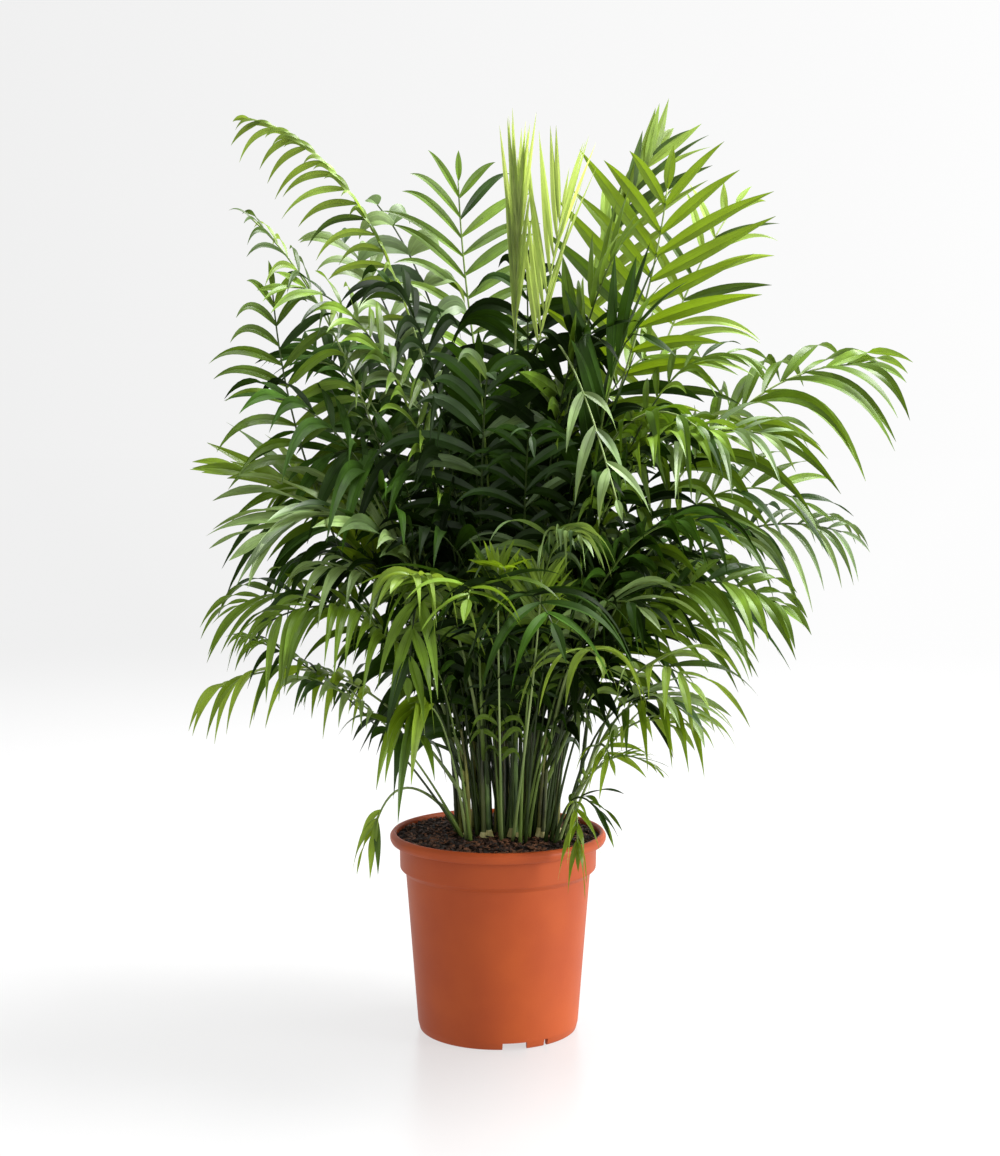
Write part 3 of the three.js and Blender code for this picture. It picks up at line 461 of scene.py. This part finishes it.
def clearance(row, line, laid):
    """The nearest that a middle line comes to the stems and to the lines laid before it."""
    least = math.inf
    heights = line.points[:, 2] - SOIL.top - GAP
    order = np.arange(len(line.points))
    for s, (_, _, tall, _) in enumerate(STEMS):
        near = heights <= tall + CLEAR.ribs
        if s == row.stem:
            near &= order >= CLEAR.own_points
        if not near.any():
            continue
        level = np.clip(heights[near], 0, tall)
        apart = np.linalg.norm(line.points[near] - stem_centre(s, level), axis=1)
        apart = (apart - stem_radius(s, level)).min()
        least = min(least, apart + CLEAR.ribs - (CLEAR.own_stem if s == row.stem else CLEAR.stems))
    for name, other in laid.items():
        mine = line.points[order * CLEAR_STEP >= CLEAR.shared] if name == row.onto else line.points
        if not len(mine):
            continue
        squares = (mine ** 2).sum(1)[:, None] + (other.points ** 2).sum(1) - 2 * mine @ other.points.T
        least = min(least, math.sqrt(max(squares.min(), 0)))
    return least


def lay_lines(rows):
    """Lays every frond's middle line, moving each a little until it passes clear of the rest."""
    laid = {}
    for row in rows:
        best, best_clear = None, -math.inf
        for turn, lift in WAYS:
            line = middle_line(row, turn, lift, laid)
            clear = clearance(row, line, laid)
            if clear > best_clear:
                best, best_clear = line, clear
            if best_clear >= CLEAR.ribs:
                break
        laid[row.name] = best
    return laid


def leaf_reach(u):
    """A leaflet's length at share u of the feathered stretch, as a share of the longest."""
    return math.sin(math.pi * (0.22 + 0.68 * u)) ** 0.7


def leaf_angle(u, row):
    """Its angle from the stalk, in degrees, which narrows towards the tip."""
    last = min(30, 0.6 * row.spread)
    return row.spread - (row.spread - last) * u ** 2.2


class Heap:
    """Many like shapes gathered into one mesh."""

    def __init__(self):
        self.points = []
        self.faces = []
        self.uvs = []
        self.count = 0

    def add(self, points, faces, uvs=None):
        self.points.append(points)
        self.faces += [tuple(self.count + i for i in face) for face in faces]
        if uvs is not None:
            self.uvs.append(uvs)
        self.count += len(points)

    def grid(self, points, closed=False, uvs=None):
        """A sheet of rows by columns; closed joins the last column to the first."""
        rows, columns, _ = points.shape
        wrap = columns if closed else columns - 1
        faces = []
        for start in range(0, (rows - 1) * columns, columns):
            for c in range(wrap):
                here, beside = start + c, start + (c + 1) % columns
                faces.append((here, beside, beside + columns, here + columns))
        self.add(points.reshape(-1, 3), faces, uvs)

    def piece(self, name, material, smooth=True):
        """The shapes as an object of the scene."""
        mesh = bpy.data.meshes.new(name)
        mesh.from_pydata(np.concatenate(self.points) * METRE, [], self.faces)
        mesh.validate()
        if smooth:
            mesh.polygons.foreach_set("use_smooth", [True] * len(mesh.polygons))
        if self.uvs:
            layer = mesh.uv_layers.new(name="UVMap")
            where = np.empty(len(mesh.loops), np.int32)
            mesh.loops.foreach_get("vertex_index", where)
            layer.data.foreach_set("uv", np.concatenate(self.uvs)[where].ravel())
        mesh.update()
        mesh.materials.append(material)
        thing = bpy.data.objects.new(name, mesh)
        scene.collection.objects.link(thing)
        return thing


STEP = np.linspace(0, 1, LEAF.steps + 1)
# Breadth along a leaflet: narrow at its foot, broadest before the middle, with a long drawn point.
OUTLINE = np.maximum(np.sin(np.pi * STEP ** 0.72) ** 0.95, 0.22 * (1 - 3 * STEP))
OUTLINE[-1] = 0.02


def add_leaflet(heap, line, row, u, hand, chance):
    """Adds the leaflet at share u of the feathered stretch, on either hand, or on neither at its tip."""
    place, ahead, side, face = line.at(min(row.petiole + (1 - row.petiole) * u, 1))
    stir = row.stir
    rise = math.radians(row.rise + stir * chance.either_way(UNEVEN.rise))
    out = side * hand * math.cos(rise) + face * math.sin(rise)
    angle = 0
    if hand:
        close = row.back if hand * line.away[0] > 0 else 1
        angle = math.radians(close * leaf_angle(u, row) + stir * chance.either_way(UNEVEN.angle))
    forward = ahead * math.cos(angle) + out * math.sin(angle)
    length = row.short * row.leaf * leaf_reach(u) * (1 if hand else row.end)
    length *= chance.between(*UNEVEN.length)
    sag = row.sag * (1 if hand else LEAF.end_sag) + stir * chance.either_way(UNEVEN.sag)
    curl = chance.between(*UNEVEN.curl)

    # The midrib droops, and sweeps towards the frond's tip or back
    t = STEP[:, None]
    edge = ahead if hand else side
    drop = t ** LEAF.droop
    spine = place + forward * length * (t - LEAF.drawn_in * sag * drop) - UP * length * sag * drop
    spine = spine + edge * length * curl * t * t
    steep = LEAF.droop * sag * t ** (LEAF.droop - 1)
    heading = units(forward * (1 - LEAF.drawn_in * steep) - UP * steep + edge * 2 * curl * t)
    across = units(edge - (heading @ edge)[:, None] * heading)
    over = np.cross(across, heading) * (hand or -1)
    twist = math.radians(stir * chance.either_way(UNEVEN.twist)) * t
    cos, sin = np.cos(twist), np.sin(twist)
    across, over = across * cos + over * sin, over * cos - across * sin

    # The blade, folded along the midrib and most at its foot
    broad = LEAF.breadth * row.slim * row.width * row.leaf
    breadth = broad * (0.5 + 0.5 * leaf_reach(u)) * chance.between(*UNEVEN.breadth)
    half = (0.5 * breadth * OUTLINE)[:, None]
    fold = row.fold + LEAF.foot_fold * (1 - t) ** 6
    for way in (-1, 1):
        x = way * np.array(LEAF_HALF)[None, :]
        lift = half * (fold * np.abs(x) + LEAF.arch * (np.abs(x) - x * x))
        points = (
            spine[:, None, :]
            + across[:, None, :] * (half * x)[:, :, None]
            + over[:, None, :] * lift[:, :, None]
        )
        if way * (hand or -1) > 0:
            points = points[:, ::-1]
        uvs = np.stack(np.broadcast_arrays((x + 1) / 2, t * length / LEAF.uv_length), axis=-1).reshape(-1, 2)
        heap.grid(points, uvs=uvs)


def around(sides):
    """The bearings of a ring's corners."""
    return np.arange(sides) * 2 * math.pi / sides


def tube(heap, centres, radii, sides=6):
    """A round stalk through centres, with closed ends."""
    ahead = units(np.gradient(centres, axis=0))
    first = units(np.cross(ahead, ASKEW))
    second = np.cross(ahead, first)
    turn = around(sides)[None, :, None]
    ring = np.cos(turn) * first[:, None, :] + np.sin(turn) * second[:, None, :]
    points = centres[:, None, :] + ring * np.asarray(radii)[:, None, None]
    start = heap.count
    heap.grid(points, closed=True)
    heap.faces.append(tuple(start + i for i in reversed(range(sides))))
    last = start + (len(centres) - 1) * sides
    heap.faces.append(tuple(last + i for i in range(sides)))


def colour_of(hexadecimal, gain=1.0):
    """A shown colour as the shader's linear one."""
    shown = [int(hexadecimal[i:i + 2], 16) / 255 for i in (1, 3, 5)]
    linear = [c / 12.92 if c <= 0.04045 else ((c + 0.055) / 1.055) ** 2.4 for c in shown]
    return [min(1.0, gain * c) for c in linear] + [1.0]


def new_node(tree, kind, **values):
    """A shader node with some of its inputs set."""
    made = tree.nodes.new("ShaderNode" + kind)
    for name, value in values.items():
        made.inputs[name].default_value = value
    return made


def wire(source, output, target, entry):
    """Links an output of one node to an input of another, each by its name or number."""
    source.id_data.links.new(source.outputs[output], target.inputs[entry])


class Paint:
    """A material whose base colour varies between two colours by a noise in the object's own space."""

    def __init__(self, name, colours, scale, roughness, specular=0.5, detail=3.0, gains=(1, 1),
                 ends=(0.35, 0.68)):
        self.material = bpy.data.materials.new(name)
        self.material.use_nodes = True
        self.tree = self.material.node_tree
        self.shader = self.tree.nodes["Principled BSDF"]
        self.shader.inputs["Roughness"].default_value = roughness
        self.shader.inputs["Specular IOR Level"].default_value = specular
        self.place = new_node(self.tree, "TexCoord")
        self.noise = new_node(self.tree, "TexNoise", Scale=scale, Detail=detail)
        self.ramp = new_node(self.tree, "ValToRGB")
        for k in (0, 1):
            self.ramp.color_ramp.elements[k].position = ends[k]
            self.ramp.color_ramp.elements[k].color = colour_of(colours[k], gains[k])
        wire(self.place, "Object", self.noise, "Vector")
        wire(self.noise, "Fac", self.ramp, "Fac")
        wire(self.ramp, "Color", self.shader, "Base Color")

    def bump(self, texture, strength, distance):
        """Roughens the surface by a texture."""
        bump = new_node(self.tree, "Bump", Strength=strength, Distance=distance)
        wire(texture, "Fac", bump, "Height")
        wire(bump, "Normal", self.shader, "Normal")

    def grain(self, scale, strength, distance, detail=4.0):
        """Roughens the surface by a noise in the object's own space."""
        noise = new_node(self.tree, "TexNoise", Scale=scale, Detail=detail)
        wire(self.place, "Object", noise, "Vector")
        self.bump(noise, strength, distance)


def leaf_material(name, shade, tone):
    roughness, specular, glow_share = LEAF_LOOK[tone]
    leaf = Paint(name, (shade, shade), 26.0, roughness, specular, gains=LEAF_GAINS, ends=(0.41, 0.62))
    tree = leaf.tree
    # Paler streaks, along the leaflet
    uv = new_node(tree, "UVMap")
    stretch = new_node(tree, "Mapping", Scale=(7.0, 1.1, 1.0))
    streaks = new_node(tree, "TexNoise", Scale=2.4, Detail=3.0)
    blend = new_node(tree, "Mix", Factor=0.55)
    wire(uv, "UV", stretch, "Vector")
    wire(stretch, "Vector", streaks, "Vector")
    wire(leaf.noise, "Fac", blend, "A")
    wire(streaks, "Fac", blend, "B")
    wire(blend, "Result", leaf.ramp, "Fac")
    # Parallel veins
    veins = new_node(tree, "TexWave", Scale=1.1, Distortion=0.3)
    veins.bands_direction = "X"
    wire(uv, "UV", veins, "Vector")
    leaf.bump(veins, 0.08, 0.0003)
    # Light that passes through the blade
    warm = YOUNG_WARM if tone == "young" else LEAF_WARM
    through = [min(1, part * gain) for part, gain in zip(colour_of(shade, LEAF_GAINS[1]), warm)] + [1]
    glow = new_node(tree, "BsdfTranslucent", Color=through)
    mix = new_node(tree, "MixShader")
    mix.inputs[0].default_value = glow_share
    wire(leaf.shader, 0, mix, 1)
    wire(glow, 0, mix, 2)
    wire(mix, 0, tree.nodes["Material Output"], "Surface")
    return leaf.material


def add_stalk(stalks, line, row, deep, chance):
    """Adds a frond's stalk to the heap of its kind."""
    thick = RIB.foot * (RIB.slimmer if row.onto or row.stem is None else RIB.slim)
    shares = np.linspace(0, 1, max(STALK.fewest, round(line.length / STALK.step)))
    centres = np.array([line.at(share)[0] for share in shares])
    if row.foot and row.foot < STEMS[row.stem][2]:
        centres[0] = stem_centre(row.stem, max(row.foot - STALK.rooted, 0))
    radii = thick + (RIB.tip - thick) * shares ** 0.8
    radii += SHEATH.extra * np.exp(-shares * line.length / SHEATH.length)
    # A stalk deep in the crown is always of the dark kind, as painted shade; others are dark or light by
    # chance.
    kind = int((1 if deep else 2) * chance.next())
    if row.tone in PALE_STALKS or row.name in PALE_STALKS:
        kind = 2
    tube(stalks[kind], centres, radii)


def grow_fronds():
    """The source's rows, the stalks by kind, and the leaflets by tone and shade."""
    rows = frond_rows()
    lines = lay_lines(rows)
    extra = shoot_rows()
    for row in extra:
        lines[row.name] = middle_line(row, 0, 0, lines)
    chance = Chance(90125)
    stalks = [Heap() for _ in STALK_COLOURS]
    turns = dict.fromkeys(TONES, 0)
    heaps = {(tone, k): Heap() for tone in TONES for k in range(3)}
    for row in rows + extra:
        line, tone = lines[row.name], row.tone
        # A frond deep in the crown takes the darkest shade as its own, as painted shade.
        deep = row.name.startswith(SHADED_INNER)
        own = row.shade
        if own is None:
            own = 0 if deep else 1 + turns[tone] % 2
        turns[tone] += 1
        add_stalk(stalks, line, row, deep, chance)
        pairs = max(3, round((1 - row.petiole) * line.length / row.spacing))
        for k in range(pairs):
            for hand in (1, -1):
                u = (k + 0.2 + chance.either_way(UNEVEN.place)) / pairs
                draw = chance.next()
                shade = own if draw < OWN_SHADE else NEXT_SHADE[own]
                if draw > DARK_SHADE and tone != "young":
                    shade = 0
                add_leaflet(heaps[tone, shade], line, row, max(u, 0), hand, chance)
        add_leaflet(heaps[tone, own], line, row, 1, 0, chance)
    return rows, stalks, heaps


rows, stalks, heaps = grow_fronds()
node_tone = {f"frond_{row.name}": row.tone for row in rows if not row.onto}
for (tone, k), heap in heaps.items():
    if not heap.count:
        continue
    name = f"{tone}_{k + 1}"
    piece = heap.piece(f"leaves_{name}", leaf_material(f"leaf_{name}", TONES[tone][k], tone))
    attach(piece, "root")
    if k == 1:
        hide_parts(*[node for node, own in node_tone.items() if own == tone])

for k, (heap, colours) in enumerate(zip(stalks, STALK_COLOURS)):
    paint = Paint(f"stalk_green_{k + 1}", colours, 9.0, 0.42, 0.25)
    piece = heap.piece(f"stalks_{k + 1}", paint.material)
    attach(piece, "root")


# Canes with leaf scars. Each stem of the source stands for a bundle of slimmer canes.
BUNDLE = Sizes(count=3, off=0.52, slim=0.5, shortest=0.5, stray=0.4, wind=1.2, breadth=(0.82, 1.1))
CANE = Sizes(sides=10, step=3.0, scar_step=24, scar=0.12, scar_spread=6)  # scar_spread is in mm squared
CANE_COLOURS = [("#232812", "#565f2c"), ("#3a3d18", "#8a8a40"), ("#2c4017", "#76944a")]
# A share of the canes has a pale swollen foot.
PALE_FOOT = Sizes(share=0.5, height=(4, 11), steps=9, swell=1.1, inset=0.1, sunk=1.0)


def add_foot(feet, heights, centres, radii, chance):
    """The swollen foot of a cane."""
    rise = np.linspace(0, chance.between(*PALE_FOOT.height), PALE_FOOT.steps)
    swell = PALE_FOOT.swell * np.sqrt(1 - (rise / rise[-1]) ** 2)
    swollen = np.interp(rise, heights, radii) + swell - PALE_FOOT.inset
    middles = np.stack([np.interp(rise, heights, centres[:, i]) for i in range(3)], axis=1)
    tube(feet, middles - UP * PALE_FOOT.sunk, swollen, CANE.sides)


def cane_heaps():
    """The canes by colour, and the pale feet."""
    canes, feet = [Heap() for _ in CANE_COLOURS], Heap()
    chance = Chance(777)
    scar_step = CANE.scar_step
    for s, (_, _, stem_tall, _) in enumerate(STEMS):
        start = chance.between(0, 2 * math.pi)
        for k in range(BUNDLE.count):
            tall = stem_tall * (1 if k == 0 else chance.between(BUNDLE.shortest, 1))
            heights = np.append(np.arange(0, tall, CANE.step), tall)
            turn = start + k * 2 * math.pi / BUNDLE.count + chance.either_way(BUNDLE.stray)
            turn = turn + chance.either_way(BUNDLE.wind) * heights / stem_tall
            off = BUNDLE.off * stem_radius(s, heights)
            centres = stem_centre(s, heights)
            centres[:, 0] += off * np.cos(turn)
            centres[:, 1] += off * np.sin(turn)
            radii = stem_radius(s, heights) * BUNDLE.slim * chance.between(*BUNDLE.breadth)
            from_scar = (heights + chance.between(0, scar_step)) % scar_step - scar_step / 2
            radii = radii * (1 + CANE.scar * np.exp(-from_scar ** 2 / CANE.scar_spread))
            if chance.next() < PALE_FOOT.share:
                add_foot(feet, heights, centres, radii, chance)
            tube(chance.pick(canes), centres, radii, CANE.sides)
    return canes, feet


canes, feet = cane_heaps()
for k, (heap, colours) in enumerate(zip(canes, CANE_COLOURS)):
    paint = Paint(f"cane_green_{k + 1}", colours, 90.0, 0.42, 0.4, ends=(0.4, 0.62))
    stretch = new_node(paint.tree, "Mapping", Scale=(1.0, 1.0, 0.16))
    wire(paint.place, "Object", stretch, "Vector")
    wire(stretch, "Vector", paint.noise, "Vector")
    paint.grain(160, 0.4, 0.001)
    piece = heap.piece(f"canes_{k + 1}", paint.material)
    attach(piece, "root")
    if k == 0:
        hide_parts(*[f"stem_{s + 1}" for s in range(len(STEMS))])

paint = Paint("cane_foot_pale", ("#8a8344", "#cfc68c"), 60.0, 0.6)
piece = feet.piece("cane_feet", paint.material)
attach(piece, "root")


def lathe(heap, profile, sides):
    """A closed turned body; the first and last points of the profile lie on the axis."""
    turn = around(sides)
    rings = [
        np.stack([radius * np.cos(turn), radius * np.sin(turn), np.full(sides, height)], axis=1)
        for radius, height in profile[1:-1]
    ]
    start = heap.count
    heap.grid(np.array(rings), closed=True)
    count = len(rings) * sides
    heap.add(np.array([(0, 0, profile[0][1]), (0, 0, profile[-1][1])], float), [])
    low, high = start + count, start + count + 1
    last = start + count - sides
    for i in range(sides):
        j = (i + 1) % sides
        heap.faces.append((start + j, start + i, low))
        heap.faces.append((last + i, last + j, high))


def rounded(corners, radius=1.2, steps=3):
    """A profile with each inner corner cut round."""
    points = [np.array(corner, float) for corner in corners]
    made = [points[0]]
    for before, corner, after in zip(points, points[1:], points[2:]):
        back, on = before - corner, after - corner
        reach = min(radius, 0.4 * np.linalg.norm(back), 0.4 * np.linalg.norm(on))
        start, end = corner + unit(back) * reach, corner + unit(on) * reach
        for k in range(steps + 1):
            t = k / steps
            made.append(start * (1 - t) ** 2 + corner * 2 * t * (1 - t) + end * t * t)
    made.append(points[-1])
    return made


def pot_profile():
    """The pot's half section, up its outside and down its inside."""
    p = POT
    inside = p.foot_height + p.wall
    return rounded([
        (0, 0), (CHANNEL.inner, 0),
        (CHANNEL.inner + CHANNEL.slope, p.foot_height), (CHANNEL.outer, p.foot_height),
        (CHANNEL.outer + 1, 0), (p.foot_radius, 0),
        (p.base_radius, p.foot_height), (p.body_radius, p.body_top),
        (p.collar_radius - 0.5, p.collar_foot), (p.collar_radius, p.rim_foot - 1),
        (p.rim_radius - 2, p.rim_foot), (p.rim_radius, p.rim_foot + 4),
        (p.rim_radius, p.height - 4), (p.rim_radius - 3, p.height),
        (p.rim_mouth + 1.5, p.height), (p.rim_mouth, p.height - 2),
        (p.rim_mouth, p.rim_foot + 3), (p.collar_radius - p.wall, p.rim_foot - 2),
        (p.collar_radius - p.wall, p.collar_foot + 1), (p.body_radius - p.wall, p.body_top - 2),
        (p.base_radius - p.wall, inside),
        (CHANNEL.inner - 1, inside), (CHANNEL.inner - 4, p.wall), (0, p.wall),
    ])


def notch_cutter(material):
    """Blocks that cut the drainage notches into the pot's foot."""
    blocks = Heap()
    box_faces = [(0, 1, 3, 2), (4, 6, 7, 5), (0, 4, 5, 1), (2, 3, 7, 6), (0, 2, 6, 4), (1, 5, 7, 3)]
    along = (CHANNEL.outer - 6, POT.rim_radius)
    high = POT.foot_height - 0.5
    for bearing, width in NOTCHES:
        corners = [(x, y, z) for x in along for y in (-width / 2, width / 2) for z in (-high, high)]
        cos, sin = math.cos(math.radians(bearing)), math.sin(math.radians(bearing))
        blocks.add(np.array(corners, float) @ np.array([(cos, sin, 0), (-sin, cos, 0), (0, 0, 1)]), box_faces)
    return blocks.piece("notch_cutter", material, smooth=False)


def cut_away(thing, cutter):
    """Takes the cutter's form out of a piece, and the cutter out of the scene."""
    cut = thing.modifiers.new("notches", "BOOLEAN")
    cut.operation = "DIFFERENCE"
    cut.solver = "EXACT"
    cut.object = cutter
    graph = bpy.context.evaluated_depsgraph_get()
    made = bpy.data.meshes.new_from_object(thing.evaluated_get(graph))
    thing.modifiers.clear()
    thing.data = made
    bpy.data.objects.remove(cutter)


pot_heap = Heap()
lathe(pot_heap, pot_profile(), 192)
paint = Paint("pot_plastic", ("#9b4016", "#a54819"), 16.0, 0.5, 0.26)
paint.grain(900, 0.25, 0.0004)
pot = pot_heap.piece("pot_shell", paint.material)
cut_away(pot, notch_cutter(paint.material))
pot.data.set_sharp_from_angle(angle=math.radians(40))
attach(pot, "root")
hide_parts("pot")


# Potting soil, uneven on top, strewn with bark
SOIL_EDGE = POT.rim_mouth - 2 * GAP


def soil_height(x, y):
    r = np.hypot(x, y)
    heights = [SOIL.top - 1.5, SOIL.top - 2.0, SOIL.edge_top - 1]
    base = np.interp(r, [0, SOIL.flat_radius, SOIL_EDGE], heights)
    waves = 1.1 * np.sin(x / 9.0 + 1.3) * np.cos(y / 7.0)
    waves = waves + 0.8 * np.sin((x + y) / 4.3) * np.cos((x - y) / 5.1)
    return base + waves * np.clip((SOIL_EDGE - r) / 12, 0, 1)


def soil_heap():
    """The soil's body, which follows the inside of the pot."""
    collar = POT.collar_radius - POT.wall - 2 * GAP
    profile = [
        (0, POT.wall + GAP + 12), (POT.base_radius - POT.wall - 2, 24),
        (POT.body_radius - POT.wall - 2, POT.body_top - 2),
        (collar, POT.collar_foot + 4), (collar, POT.rim_foot - 1.5),
        (SOIL_EDGE, POT.rim_foot + 4), (SOIL_EDGE, SOIL.edge_top - 1),
    ]
    profile += [(r, SOIL.top) for r in np.linspace(SOIL_EDGE - 1.5, 3, 44)]
    profile += [(0, SOIL.top)]
    bed = Heap()
    lathe(bed, profile, 128)
    points = np.concatenate(bed.points)
    top = points[:, 2] > SOIL.edge_top - 2
    points[top, 2] = soil_height(points[top, 0], points[top, 1])
    bed.points = [points]
    return bed


paint = Paint("soil_peat", ("#150d08", "#33231a"), 180.0, 0.95, 0.15, detail=6.0)
paint.grain(320, 1.0, 0.003, 8.0)
piece = soil_heap().piece("soil_bed", paint.material)
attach(piece, "root")
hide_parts("soil")

CHIPS = Sizes(count=1900, spread=109, sizes=[(2.5, 10), (1.4, 4.2), (0.6, 1.8)])
CHIP_OUTLINE = [(-1, -0.5), (-0.55, 0.75), (0.5, 1), (1, 0.1), (0.6, -0.8), (-0.4, -1)]
CHIP_COLOURS = ("#1d120b", "#3b2417", "#654028")


def chip_heaps():
    """Flat chips of bark, askew on the soil, by colour."""
    chance = Chance(31337)
    chips = [Heap() for _ in CHIP_COLOURS]
    corners = len(CHIP_OUTLINE)
    faces = [tuple(reversed(range(corners))), tuple(range(corners, 2 * corners))]
    faces += [(i, (i + 1) % corners, corners + (i + 1) % corners, corners + i) for i in range(corners)]
    for _ in range(CHIPS.count):
        r = CHIPS.spread * math.sqrt(chance.next())
        turn = chance.between(0, 2 * math.pi)
        x, y = r * math.cos(turn), r * math.sin(turn)
        long, wide, thick = [chance.between(*size) for size in CHIPS.sizes]
        heading = chance.between(0, 2 * math.pi)
        ahead = unit(np.array((math.cos(heading), math.sin(heading), chance.either_way(0.5))))
        side = unit(np.cross(UP + chance.either_way(0.6) * ahead[[1, 0, 2]], ahead))
        over = np.cross(ahead, side)
        middle = np.array((x, y, float(soil_height(x, y)) + chance.between(0.0, 1.6)))
        low = [
            middle + ahead * long * a * 0.5 + side * wide * b * 0.5 * chance.between(0.8, 1.2)
            for a, b in CHIP_OUTLINE
        ]
        high = [p + over * thick * chance.between(0.6, 1.0) for p in low]
        chance.pick(chips).add(np.array(low + high), faces)
    return chips


for k, (heap, shade) in enumerate(zip(chip_heaps(), CHIP_COLOURS)):
    paint = Paint(f"bark_{k + 1}", (shade, shade), 260.0, 0.85, gains=(0.7, 1.3))
    piece = heap.piece(f"bark_chips_{k + 1}", paint.material, smooth=False)
    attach(piece, "root")


# Camera, at the photograph's view. Its focal length and the picture's height are in pixels.
PHOTO = Sizes(focal=1914, height=1156)
SENSOR = 36
LOOK_DOWN = 4.81
camera = bpy.data.cameras.new("camera")
camera.sensor_fit = "VERTICAL"
camera.sensor_height = SENSOR
camera.lens = SENSOR * (PHOTO.focal / PHOTO.height)
camera.clip_start = 0.05
camera.clip_end = 100
view = bpy.data.objects.new("camera", camera)
view.location = (0.0022, -2.1, 0.68)
view.rotation_euler = (math.radians(90 - LOOK_DOWN), 0, 0)
scene.collection.objects.link(view)
scene.camera = view

# Floor, which fades into the backdrop's colour far away
BACKDROP = Sizes(left=0.87, right=0.985, spread=0.26)
FLOOR = Sizes(rings=(1, 200, 600, 1500, 3000, 6000, 12000, 30000), sides=96)
FLOOR_FADE = {"From Min": 0.9, "From Max": 4.0}  # in metres from the middle
FLOOR_LOOK = {
    "Base Color": (0.14, 0.14, 0.14, 1), "Roughness": 0.3, "Specular IOR Level": 0.5,
    "Emission Color": (1, 1, 1, 1), "Emission Strength": 0.6,
}


def backdrop(place, output):
    """The backdrop's grey, from left to right, by the sideways part of a direction from the middle."""
    tree = place.id_data
    direction = new_node(tree, "VectorMath")
    direction.operation = "NORMALIZE"
    parts = new_node(tree, "SeparateXYZ")
    grey = new_node(tree, "MapRange", **{
        "From Min": -BACKDROP.spread, "From Max": BACKDROP.spread,
        "To Min": BACKDROP.left, "To Max": BACKDROP.right,
    })
    wire(place, output, direction, 0)
    wire(direction, 0, parts, 0)
    wire(parts, "X", grey, "Value")
    return grey


def floor_material():
    """White near the pot, and the backdrop's grey far from it."""
    material = bpy.data.materials.new("floor_white")
    material.use_nodes = True
    tree = material.node_tree
    shader = tree.nodes["Principled BSDF"]
    for name, value in FLOOR_LOOK.items():
        shader.inputs[name].default_value = value
    place = new_node(tree, "TexCoord")
    reach = new_node(tree, "VectorMath")
    reach.operation = "LENGTH"
    fade = new_node(tree, "MapRange", **FLOOR_FADE)
    fade.interpolation_type = "SMOOTHSTEP"
    far = new_node(tree, "Emission")
    mix = new_node(tree, "MixShader")
    wire(backdrop(place, "Object"), "Result", far, "Color")
    wire(place, "Object", reach, 0)
    wire(reach, "Value", fade, "Value")
    wire(fade, "Result", mix, 0)
    wire(shader, 0, mix, 1)
    wire(far, 0, mix, 2)
    wire(mix, 0, tree.nodes["Material Output"], "Surface")
    return material


turn = around(FLOOR.sides)
rings = [np.stack([r * np.cos(turn), r * np.sin(turn), 0 * turn], axis=1) for r in FLOOR.rings]
floor_heap = Heap()
floor_heap.grid(np.array(rings), closed=True)
floor_heap.faces.append(tuple(range(FLOOR.sides)))
floor = floor_heap.piece("floor", floor_material())

# Soft studio light: a white surround, a broad light from above and a lower one from the right
world = bpy.data.worlds.new("studio")
scene.world = world
world.use_nodes = True
place = new_node(world.node_tree, "TexCoord")
wire(backdrop(place, "Generated"), "Result", world.node_tree.nodes["Background"], "Color")


def area_light(name, place, aim, size, power):
    light = bpy.data.lights.new(name, "AREA")
    light.shape = "DISK"
    light.size = size
    light.energy = power
    thing = bpy.data.objects.new(name, light)
    thing.location = place
    heading = np.subtract(aim, place)
    yaw = math.atan2(heading[1], heading[0]) - math.pi / 2
    pitch = math.atan2(heading[2], math.hypot(heading[0], heading[1]))
    thing.rotation_euler = (pitch + math.pi / 2, 0, yaw)
    scene.collection.objects.link(thing)


area_light("key", (1.35, 0.2, 3.05), (0, 0, 0.4), 1.7, 290)
area_light("side", (2.6, -0.9, 0.9), (0, 0, 0.35), 1.2, 75)

scene.view_settings.view_transform = "Standard"
